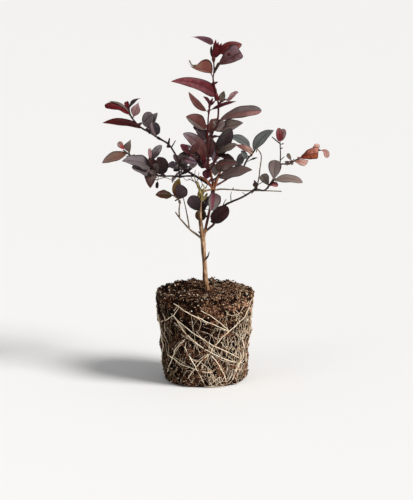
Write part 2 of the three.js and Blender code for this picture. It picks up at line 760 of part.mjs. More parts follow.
// A leaf is a short stalk and a pointed blade, folded a little along its midrib and arched.
function leafSolid(foot, [, reachPlace, width, turn, arch, form = ORDINARY, stalk = STALK_SHARE]) {
  const reach = vector(reachPlace);
  const along = reach.clone().normalize();
  const angle = THREE.MathUtils.degToRad(turn);
  const facing = TO_EYE.clone().multiplyScalar(Math.cos(angle)).addScaledVector(UP, Math.sin(angle));
  const face = squareTo(facing, along);
  const side = along.clone().cross(face);
  const lift = squareTo(UP, along);
  const spine = (t) => foot.clone().addScaledVector(reach, t).addScaledVector(lift, arch * 4 * t * (1 - t));
  const ring = (t, halfWidth, halfThickness, fold) => {
    const middle = spine(t);
    return [
      middle.clone().addScaledVector(side, halfWidth).addScaledVector(face, fold),
      middle.clone().addScaledVector(face, -halfThickness),
      middle.clone().addScaledVector(side, -halfWidth).addScaledVector(face, fold),
      middle.clone().addScaledVector(face, halfThickness),
    ];
  };
  const rings = [ring(stalk, STALK_RADIUS, STALK_RADIUS, 0)];
  const stations = reach.length() < LONG_LEAF ? SHORT_BLADE_STATIONS : BLADE_STATIONS;
  for (const t of stations) {
    const half = (width / 2) * leafWidthAt(t, form);
    rings.push(ring(stalk + (1 - stalk) * t, half, LEAF_THICKNESS / 2, half * LEAF_FOLD));
  }
  return skinOf(rings, [spine(-FOOT_SUNK / reach.length()), spine(1)]);
}

// Leaves grown by rule: opposite pairs, each turned a quarter from the last, and a pair at the tip. One that
// leaves the spray's own space or comes too near a limb is left off.
function grownLeaves(spray) {
  const { seed, pairs, leaf, space } = spray.grown;
  const draw = drawsFrom(seed);
  const route = routeOf(spray.stem);
  const box = new THREE.Box3(onPlant(space[0]), onPlant(space[1]));
  const leaves = [];
  for (let pair = 0; pair < pairs; pair++) {
    const at = (pair + 0.75) / (pairs - 0.25);
    const foot = route.getPoint(Math.min(at, 1));
    const run = route.getTangent(Math.min(at, 1));
    const level = new THREE.Vector3().crossVectors(run, UP).normalize();
    const rise = new THREE.Vector3().crossVectors(level, run).normalize();
    const turn = pair * 1.2 + (draw() - 0.5) * 0.8;
    for (const way of [1, -1]) {
      const length = leaf[0] + draw() * (leaf[1] - leaf[0]);
      const spread = 0.85 + draw() * 0.4 - (pair / pairs) * 0.35;
      const width = length * (0.42 + draw() * 0.12);
      const face = 55 + draw() * 50;
      const reach = run.clone().multiplyScalar(Math.cos(spread) * length)
        .addScaledVector(level, way * Math.sin(spread) * Math.cos(turn) * length)
        .addScaledVector(rise, way * Math.sin(spread) * Math.sin(turn) * length);
      if (box.containsPoint(foot.clone().add(reach)) && clearOfLimbs(foot, reach, width, spray.carrier)) {
        leaves.push([Math.min(at, 1), reach.toArray(), width, face, 0.6]);
      }
    }
  }
  return leaves;
}

function clearOfLimbs(foot, reach, width, carrier) {
  for (const [name, limb] of Object.entries(LIMBS)) {
    const route = routeOf(limb.route);
    const nearest = name === carrier ? SMALLEST_GAP : SMALLEST_GAP + width / 3;
    for (const share of [0.35, 0.65, 1]) {
      const place = foot.clone().addScaledVector(reach, share);
      for (let i = 0; i <= 20; i++) {
        if (place.distanceTo(route.getPoint(i / 20)) < limb.radii[0] + nearest) {
          return false;
        }
      }
    }
  }
  return true;
}

function twigWithLeaves(route, leaves, radii) {
  const curve = routeOf(route);
  let twig = taperedTube(route, radii, TWIG_SIDES);
  for (const leaf of leaves) {
    twig = twig.add(leafSolid(curve.getPoint(leaf[0]), leaf));
  }
  return twig;
}

function spraySolid(spray) {
  const leaves = [...(spray.leaves ?? []), ...(spray.grown ? grownLeaves(spray) : [])];
  let mass = twigWithLeaves(spray.stem, leaves, STEM_RADII);
  for (const twig of spray.twigs ?? []) {
    mass = mass.add(twigWithLeaves(twig.route, twig.leaves, TWIG_RADII));
  }
  return besideCarrier(mass, spray.carrier);
}

// The plant

function addPiece(group, name, solid, colour, roughness) {
  const material = new THREE.MeshStandardMaterial({
    color: COLOURS[colour],
    roughness,
    metalness: 0,
    flatShading: true,
  });
  const mesh = new THREE.Mesh(geometryFrom(solid), material);
  mesh.name = name;
  group.add(mesh);
}

const plant = new THREE.Group();
const crown = new THREE.Group();
addPiece(plant, "root_ball", rootBall(), "soil", 0.95);
addPiece(plant, "trunk", trunkSolid(), "paleBark", 0.8);
for (const [name, limb] of Object.entries(LIMBS)) {
  addPiece(plant, name, besideCarrier(limbSolid(limb), limb.carrier), limb.colour, 0.7);
}
for (const [name, spray] of Object.entries(SPRAYS)) {
  addPiece(crown, name, spraySolid(spray), spray.colour, 0.45);
}
plant.add(crown);

export default plant;
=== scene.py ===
"""The looks of a young dwarf crape myrtle with dark purple leaves, standing on its own root ball.

Sizes are millimetres, and the meshes are written in metres. Places on the plant are (right, back, up) from
the middle of the soil's surface, as in the source of the solids, and limbs and leaves grow by its rules."""
import itertools
import json
import math

import bpy
import numpy as np
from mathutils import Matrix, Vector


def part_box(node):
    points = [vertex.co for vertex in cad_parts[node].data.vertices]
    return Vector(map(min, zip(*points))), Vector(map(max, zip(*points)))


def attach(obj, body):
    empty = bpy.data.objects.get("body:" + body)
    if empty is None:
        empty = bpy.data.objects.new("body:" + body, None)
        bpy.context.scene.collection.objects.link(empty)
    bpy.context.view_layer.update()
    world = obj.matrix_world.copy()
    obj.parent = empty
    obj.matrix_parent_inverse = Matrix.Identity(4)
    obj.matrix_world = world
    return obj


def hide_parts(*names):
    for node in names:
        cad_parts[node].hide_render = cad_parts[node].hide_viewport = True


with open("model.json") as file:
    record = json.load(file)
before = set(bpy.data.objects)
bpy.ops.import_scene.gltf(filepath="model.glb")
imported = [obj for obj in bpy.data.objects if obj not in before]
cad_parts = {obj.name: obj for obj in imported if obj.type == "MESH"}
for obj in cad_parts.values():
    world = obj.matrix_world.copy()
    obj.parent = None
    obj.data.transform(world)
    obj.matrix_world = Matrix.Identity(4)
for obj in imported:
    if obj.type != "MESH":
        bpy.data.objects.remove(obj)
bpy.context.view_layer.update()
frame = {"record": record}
MM = 0.001
FULL_TURN = 2 * math.pi
UP = np.array((0.0, 0.0, 1.0))

# Camera, floor and light
EYE_HEIGHT = math.radians(12.5)
TO_EYE = np.array((0.0, -math.cos(EYE_HEIGHT), math.sin(EYE_HEIGHT)))
VIEW_TALL = 250.0
VIEW_CENTRE = np.array((0.75, 0.0, 66.0))
EYE_DISTANCE = 2200.0
SENSOR = 24.0
FLOOR_HALF = 12.0
FLOOR_GREY = 0.9
SUN_WAY = np.array((0.8, -0.42, 0.75))
SUN_POWER = 3.4
SUN_SPREAD = math.radians(24)
SUN_COLOUR = (1.0, 0.98, 0.95)
FILL_PLACE = np.array((-0.9, -0.9, 0.6))
FILL_TARGET = np.array((0, 0, 0.1))
FILL_POWER = 2.2
FILL_SIZE = 0.9
SKY_POWER = 0.32

# Root ball
BALL_TOP_RADIUS = 24.2
BALL_FOOT_RADIUS = 20.2
BALL_RIM = 1.3
SOIL_LUMP = 0.38
SIDE_START = 1.3
SEAT_RADIUS = 3.4
SEAT_RISE = 0.7
SIDE_RELIEF = 0.85
TOP_RELIEF = 0.9
SEAT_RELIEF = 0.4
RIM_CALM = 0.75
FOOT_BAND = 1.2
BALL_COLUMNS = 400
BALL_SIDE_ROWS = 125
BALL_TOP_ROWS = 52
CRUMB_COUNT = 6600
CRUMB_SEED = 17
FIBRE_COUNT = 1500
FIBRE_SEED = 23
TOP_SHARE = 0.36
RIM_SHARE = 0.12
# Painted light: the soil is paler towards the right, where the sun falls, and pale crumbs are more common
# there.
PAINTED_LIGHT_SIDE = 0.22
PAINTED_LIGHT_CRUMBS = 1.1
# Painted light: a band round the rim is paler, against the shade under the rim.
RIM_PAINTED_LIGHT = 0.2
RIM_BAND = 3

# Wood
STUB_FOOT = 46.0
LIMB_SIDES = 14
TRUNK_SIDES = 44
TRUNK_STEP = 0.22
LIMB_STEP = 0.3
LIMB_RELIEF = 0.07
LIMB_SEED = 80
SPUR_SEED = 71
STEM_STEP = 0.25
STEM_RELIEF = 0.05
STEM_SEED = 200
TWIG_RELIEF = 0.04
TWIG_SEED = 240
BARK_PROUD = 0.12
FOOT_RADIUS = 1.35
# Painted shade: trunk faces whose way out points further left than this take the darker brown bark.
TRUNK_SHADE_SIDE = -0.04
STEM_RADII = (0.46, 0.34)
TWIG_RADII = (0.34, 0.28)
SHOOT_RADII = (0.2, 0.12)
NODE_REACH = 0.5
NODE_SWELL = 0.12
JOIN_REACH = 1.5
JOIN_OVERLAP = 0.3
FINE_TWIG_SIDES = 8
FINE_TWIG_RELIEF = 0.16
FINE_TWIG_SEED = 300

# Leaves. Columns are shares of the way from the midrib to the edge.
LEAF_ROWS = 26
LEAF_COLUMNS = (0.0, 0.05, 0.16, 0.32, 0.5, 0.68, 0.84, 0.95, 1.0)
SMALL_LEAF = 5
SMALL_ROWS = 14
SMALL_COLUMNS = (0.0, 0.16, 0.5, 0.86, 1.0)
LEAF_THICKNESS = 0.26
STALK_RADIUS = 0.27
STALK_SHARE = 0.1
LEAF_FOLD = 0.22
LEAF_DROOP = 0.1
EDGE_WAVE = 0.1
VEIN_GAP = 1.9
VEIN_SLANT = 0.55
VEIN_SWELL = 0.045
RIB_GROOVE = 0.09
GROOVE_WIDTH = 0.08
RIB_RIDGE = 0.12
RIDGE_WIDTH = 0.1
CURL_START = 0.45
CURL_STRENGTH = 0.16
CURL_SPAN = 0.3
HOOK_SWING = 2.6
SMALLEST_GAP = 0.6
COLOUR_STEPS = 5
BLOTCH_SIZE = 2.2
BLOTCH_SHARE = 0.28
RIB_SHARE = 0.06
MARGIN_SHARE = 0.88
# The dark margin is partly the leaf's own colour and partly painted shade along its edge.
MARGIN_AND_EDGE_SHADE_COLOUR = "140a0c"
UNDER_COLOUR = "5a4c4e"

# Surfaces: roughness, share of gloss, and grain as (size, detail, depth, strength).
LEAF_SURFACE = (0.48, 0.12, (0.5, 3.0, 0.05, 0.5))
CRUMB_SURFACE = (0.8, 0.06, (0.3, 4.0, 0.12, 0.8))
SOIL_SURFACE = (0.85, 0.06, (0.35, 6.0, 0.3, 0.9))
BARK_GLOSS = 0.2
BARK_STOPS = (0.3, 0.5, 0.72)
# The soil's ramp runs on its shade attribute, so pits come out darker and bumps paler: painted shade.
SOIL_STOPS = [(0.43, "060302"), (0.54, "190d07"), (0.63, "3c2215"), (0.72, "76503a"), (0.84, "c69f80")]
SOIL_RELIEF_SHARE = 0.24

# Barks and roots: colours from dark to pale, roughness, depth of the grain.
BARKS = {
    "red_bark": (("240808", "441312", "682c26"), 0.42, 0.05),
    "dark_bark": (("180e0a", "30201a", "503a30"), 0.55, 0.06),
    "dead_bark": (("40342a", "6f5f50", "94826e"), 0.7, 0.08),
    "rust_bark": (("4a2012", "95563a", "c48c68"), 0.5, 0.07),
    "crimson_bark": (("2c050a", "500c14", "6c1c28"), 0.4, 0.05),
    # Its palest stop is partly the stub's own pale wood and partly the bright highlights on it: painted
    # highlight.
    "stub_bark": (("2c200a", "a08a4c", "eee0b0"), 0.6, 0.12),
    "pale_bark": (("6c442a", "a8805f", "dfc3a5"), 0.55, 0.12),
    # A darker brown copy of the pale bark for the trunk's left side, away from the sun: painted shade.
    "brown_bark": (("2c1a10", "5c3f2a", "a07c5a"), 0.6, 0.12),
    # A darker copy of the fine root look for roots on the shaded left side: painted shade.
    "dull_root": (("4c3c2c", "7e6a52", "ac9676"), 0.65, 0.03),
    "root": (("d6b892", "fae6c8", "fffaf0"), 0.6, 0.05),
    "fine_root": (("b8987a", "e8d2b6", "fcf2e2"), 0.6, 0.03),
}

# Crumbs of soil: colour, share of all, and how much more there are on the right, where the sun falls, as
# painted light.
CRUMBS = {
    "crumb_black": ("0a0504", 0.3, -1.0),
    "crumb_dark": ("1c100a", 0.28, -0.6),
    "crumb_brown": ("46291a", 0.16, 0.3),
    "crumb_tan": ("8e6a50", 0.12, 0.8),
    "crumb_straw": ("cdb090", 0.08, 1.0),
    "crumb_white": ("f2ebdf", 0.06, 0.0),
}
FIBRE_LOOKS = ("crumb_brown", "crumb_tan", "crumb_straw", "crumb_dark")

# Clods that stand up along the back edge of the ball's top: (right, back, size, height).
CLODS = [
    (-14, 18.2, 1.6, 1.1), (-11.4, 20, 1.3, 0.8), (-7, 21.8, 1.5, 1.3), (-5, 22, 1.1, 0.9),
    (4.4, 22, 1.9, 1.5), (2.2, 20.6, 1.3, 0.9), (14.4, 17.6, 1.2, 0.9), (11, 20, 1.4, 0.5),
    (-18.6, 12.4, 1.6, 0.5), (17, -6, 2.0, 0.5),
]

# The trunk: (right, back, up, radius), as in the source.
TRUNK = [
    (0.9, 0, 1.0, 2.1), (0.7, 0, 2.2, 1.65), (0.2, 0, 5.6, 1.35), (0, 0.1, 11, 1.25), (-0.3, 0.2, 16, 1.2),
    (-0.8, 0.2, 21, 1.22), (-1.1, 0.1, 26, 1.32), (-1.6, 0, 30, 1.15), (-2.3, 0, 36.4, 0.95),
    (-2.5, 0, 43, 0.85), (-2.5, 0, 46.6, 1.1), (-2.1, 0, 48.6, 1.85), (-1.8, 0, 50.4, 1.7),
    (-2.3, 0, 51.4, 0.9),
]
SOIL_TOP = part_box("trunk")[0].z / MM - TRUNK[0][2]
TRUNK_SPURS = [
    ([(0.3, -0.6, 16.4), (1.5, -1.1, 18.2), (2.1, -1.3, 20.2)], (0.55, 0.22)),
    ([(-1.6, 0.1, 29), (-3.2, -0.4, 30.4)], (0.6, 0.3)),
]

# Limbs: carrier, look of the bark, radii at both ends, route, knots as (run, reach in runs, swell).
LIMBS = {
    "leader_bough": ("trunk", "red_bark", (0.72, 0.45), [
        (-0.6, -0.2, 28), (0.7, -0.6, 34), (2.3, -0.8, 41.7), (4, -0.5, 51.8), (3.5, 0, 56.8),
        (1.6, 0.5, 64.4), (2.4, 1, 75), (4.2, 1, 82), (6.4, 0.8, 88), (6.6, 0.4, 95), (6, 0, 98.8),
    ], [(3, 1.5, 0.5), (10, 1, 0.3)]),
    "left_bough": ("leader_bough", "dark_bark", (0.62, 0.42), [
        (3.4, 0, 53.6), (-1, 0.8, 56.2), (-5, 2, 58.5), (-9, 4, 60.6), (-12.5, 5.5, 63.8),
        (-15.5, 7.5, 69.5), (-18.5, 9, 73.3), (-23.5, 11, 76),
    ], [(7, 1, 0.35)]),
    "left_middle_bough": ("left_bough", "dark_bark", (0.52, 0.36), [
        (-5.2, 1.8, 58.4), (-9, -1.2, 59), (-12.5, -3.5, 59.2), (-16.5, -5.2, 59.8), (-20, -6.7, 60),
    ], [(2, 1, 0.4)]),
    "upper_right_bough": ("leader_bough", "red_bark", (0.55, 0.38), [
        (4, -0.2, 53.2), (8.5, 3, 55), (13.5, 6, 57.8), (19, 10, 60.8),
    ], []),
    "right_low_bough": ("leader_bough", "dark_bark", (0.62, 0.4), [
        (0.1, -0.4, 30.6), (2.4, -1, 32.6), (4.5, -1.5, 34.8), (7, -2.2, 40), (9.5, -3, 44.2),
        (13.5, -4, 46.6), (17.5, -5, 48.5), (21.5, -6.1, 51), (25, -7, 53.4), (29, -8, 53),
        (31, -8.5, 54.4),
    ], [(8, 0.8, 0.3)]),
    "low_left_bough": ("trunk", "dead_bark", (0.6, 0.3), [
        (-1.6, 0, 27), (-4.8, -0.8, 29.6), (-7.5, -1.5, 31.8), (-12.5, -3, 37.8), (-14.6, -3.6, 41),
    ], []),
    "low_left_twig": ("low_left_bough", "dead_bark", (0.42, 0.32), [
        (-12.7, -3.1, 38.3), (-12.9, -4, 42.4), (-12.5, -5, 46.2),
    ], []),
    "dead_left_twig": ("low_left_bough", "dead_bark", (0.4, 0.24), [
        (-7.8, -1.6, 32.2), (-8.4, -1, 36), (-9.6, -1.2, 42.5), (-11, -1.6, 48.8),
    ], []),
    "bare_right_twig": ("leader_bough", "dark_bark", (0.42, 0.26), [
        (4, -0.6, 51.6), (8, -1.2, 52.3), (13.5, -2, 52.2), (21, -2.8, 51.9), (29, -3.4, 52),
        (38, -4, 51.8),
    ], []),
    "bare_right_tendril": ("right_low_bough", "dark_bark", (0.34, 0.24), [
        (25.6, -7.2, 53.5), (26.8, -7.7, 59.7), (27.2, -8, 63.8), (27.9, -8, 69), (27.6, -8, 71.6),
        (26, -8, 74), (25.5, -8, 72.6),
    ], []),
    "back_bough": ("leader_bough", "red_bark", (0.55, 0.38), [
        (3.5, -0.2, 57.2), (3, 6, 58.4), (1.6, 11, 59.6), (1, 15, 61),
    ], []),
}

# Leaf colours: (near the stalk, near the tip, midrib).
TINTS = {
    "crimson": ("50121a", "723a40", "3a0a10"),
    "bud": ("4a0a14", "5f131c", "3a060e"),
    "bright_crimson": ("600e10", "4a0a12", "3a060a"),
    "dark_maroon": ("3c0e10", "4c1412", "280606"),
    "maroon": ("3c151b", "54242b", "2c0c10"),
    "maroon_grey": ("46202a", "6e5058", "34121a"),
    "maroon_mauve": ("4c2826", "765a60", "38161a"),
    "red_maroon": ("541a1a", "74403c", "3c0c10"),
    "olive_red": ("6a3c34", "7a5c4c", "4a1e18"),
    "olive_brown": ("6c5b52", "5b5148", "44281e"),
    "pink_mauve": ("86605f", "a8868a", "5e343a"),
    "red_brown": ("502a26", "66403e", "381614"),
    "brown_red": ("4a2628", "5e4340", "361416"),
    "brown_grey": ("54443f", "645854", "4a2c28"),
    "grey_red": ("5a332f", "7a6c73", "52282a"),
    "plum": ("302426", "44363a", "46262c"),
    "black_plum": ("1e1214", "30211f", "3a1c1c"),
    "dark_green_grey": ("2c2422", "453e3c", "42201e"),
    # Its pale mauve-grey is the leaf's sheen put into its colour: painted highlight.
    "glossy_mauve": ("7c6a75", "5c3c44", "5a2a30"),
    "grey_salmon": ("5c4844", "6e6465", "6a3c3a"),
    "salmon_edge": ("604844", "966a66", "5e3634"),
    "mauve_grey": ("625657", "787070", "543a3c"),
    "dark_mauve": ("3c353b", "564d54", "4a2c32"),
    "pale_strip": ("8a7376", "9a868a", "6a4c50"),
    "grey": ("5e5859", "6d686a", "5b4040"),
    "grey_green": ("595b59", "686c6b", "3e3a38"),
    "grey_band": ("665353", "6c6a66", "70404a"),
    # Its pink midrib band stands for a pink highlight along the leaf: painted highlight.
    "pink_rib": ("54403c", "645450", "704444"),
    "mauve_rib": ("685a56", "6c5652", "74504e"),
    "brown_pink": ("6a4a3c", "705e58", "7a3c34"),
    "olive": ("4a2414", "8a7a48", "5a3018"),
    "olive_rust": ("33240e", "421a0a", "240e04"),
    "olive_mauve": ("80736a", "887873", "6c4e46"),
    "olive_grey": ("544a44", "7a6a61", "4a2c28"),
    "salmon": ("a87468", "cda198", "8a4a3c"),
    "rust": ("9a3f28", "93553a", "6b2a1c"),
    "rust_top": ("6a3024", "cd8470", "6b2a1c"),
    "rosy": ("6e282d", "8c5250", "4a181a"),
    "pink_grey": ("8a6264", "866b6c", "5a2a2c"),
    "pink": ("b07a72", "b98c86", "8a4a44"),
    "pink_brown": ("96746a", "5a3230", "6c443c"),
    "red_curl": ("8a2824", "7c7270", "6a1a18"),
    "pink_curl": ("6a2e32", "9c6668", "5a1a20"),
    "warm_brown": ("6c5c58", "402422", "4c2c2a"),
    "pale_tip": ("2e2224", "787072", "241618"),
    "bark_black": ("2a1c14", "38271e", "1c120c"),
    "dark_wine": ("2a1416", "3a201f", "240c0e"),
    "lit_brown": ("8a746c", "9a8a84", "6e5048"),
    "slate_mauve": ("544a4b", "6a6064", "4a3236"),
    "dark_olive": ("453b37", "5c524c", "3c2a26"),
    "pale_stone": ("807370", "746460", "62504c"),
}

# Outlines of a blade: how slowly it widens from its base and how slowly it narrows to its tip, as powers.
OUTLINES = {
    "lance": (0.75, 0.9), "oval": (0.6, 0.62), "round": (0.45, 0.45), "blunt": (1.0, 0.42),
    "square": (0.75, 0.16), "strap": (0.32, 0.26), "drop": (0.26, 0.8), "tailed": (0.5, 1.7),
    "kite": (1.5, 2.0), "hooded": (1.6, 3.4), "broad": (0.8, 0.5),
}


def leaf(at, reach, width, turn, arch, tint, outline="oval", stalk=STALK_SHARE, curl=0.0, halves=(1, 1),
         bend=0.0, hook=0.0, band=RIB_SHARE):
    """One leaf. As in the source: its place on the stem, reach from foot to tip, width, turn from the eye
    to the sky, and arch. Added here: its tint or a tint for each half, outline, share of stalk, curl of the
    tip, how wide each half is, and the midrib's sideways bend, S-shaped hook and share of the width."""
    tints = (tint, tint) if isinstance(tint, str) else tint
    return {"at": at, "reach": np.array(reach, float), "width": width, "turn": turn, "arch": arch,
            "tints": tints, "outline": outline, "stalk": stalk, "curl": curl, "halves": halves,
            "bend": bend, "hook": hook, "band": band}


def spray(carrier, bark, stem, leaves=(), twigs=(), grown=None, tints=()):
    """One mass of leaves: the limb that carries it, the look of its bark, its stem and leaves, and its
    twigs with their leaves. For leaves that grow by the source's rule, grown is the seed, the pairs, the
    lengths from and to, and two corners of the space for the tips, and tints are their colours in turn."""
    return {"carrier": carrier, "bark": bark, "stem": stem, "leaves": leaves, "twigs": twigs,
            "grown": grown, "tints": tints}


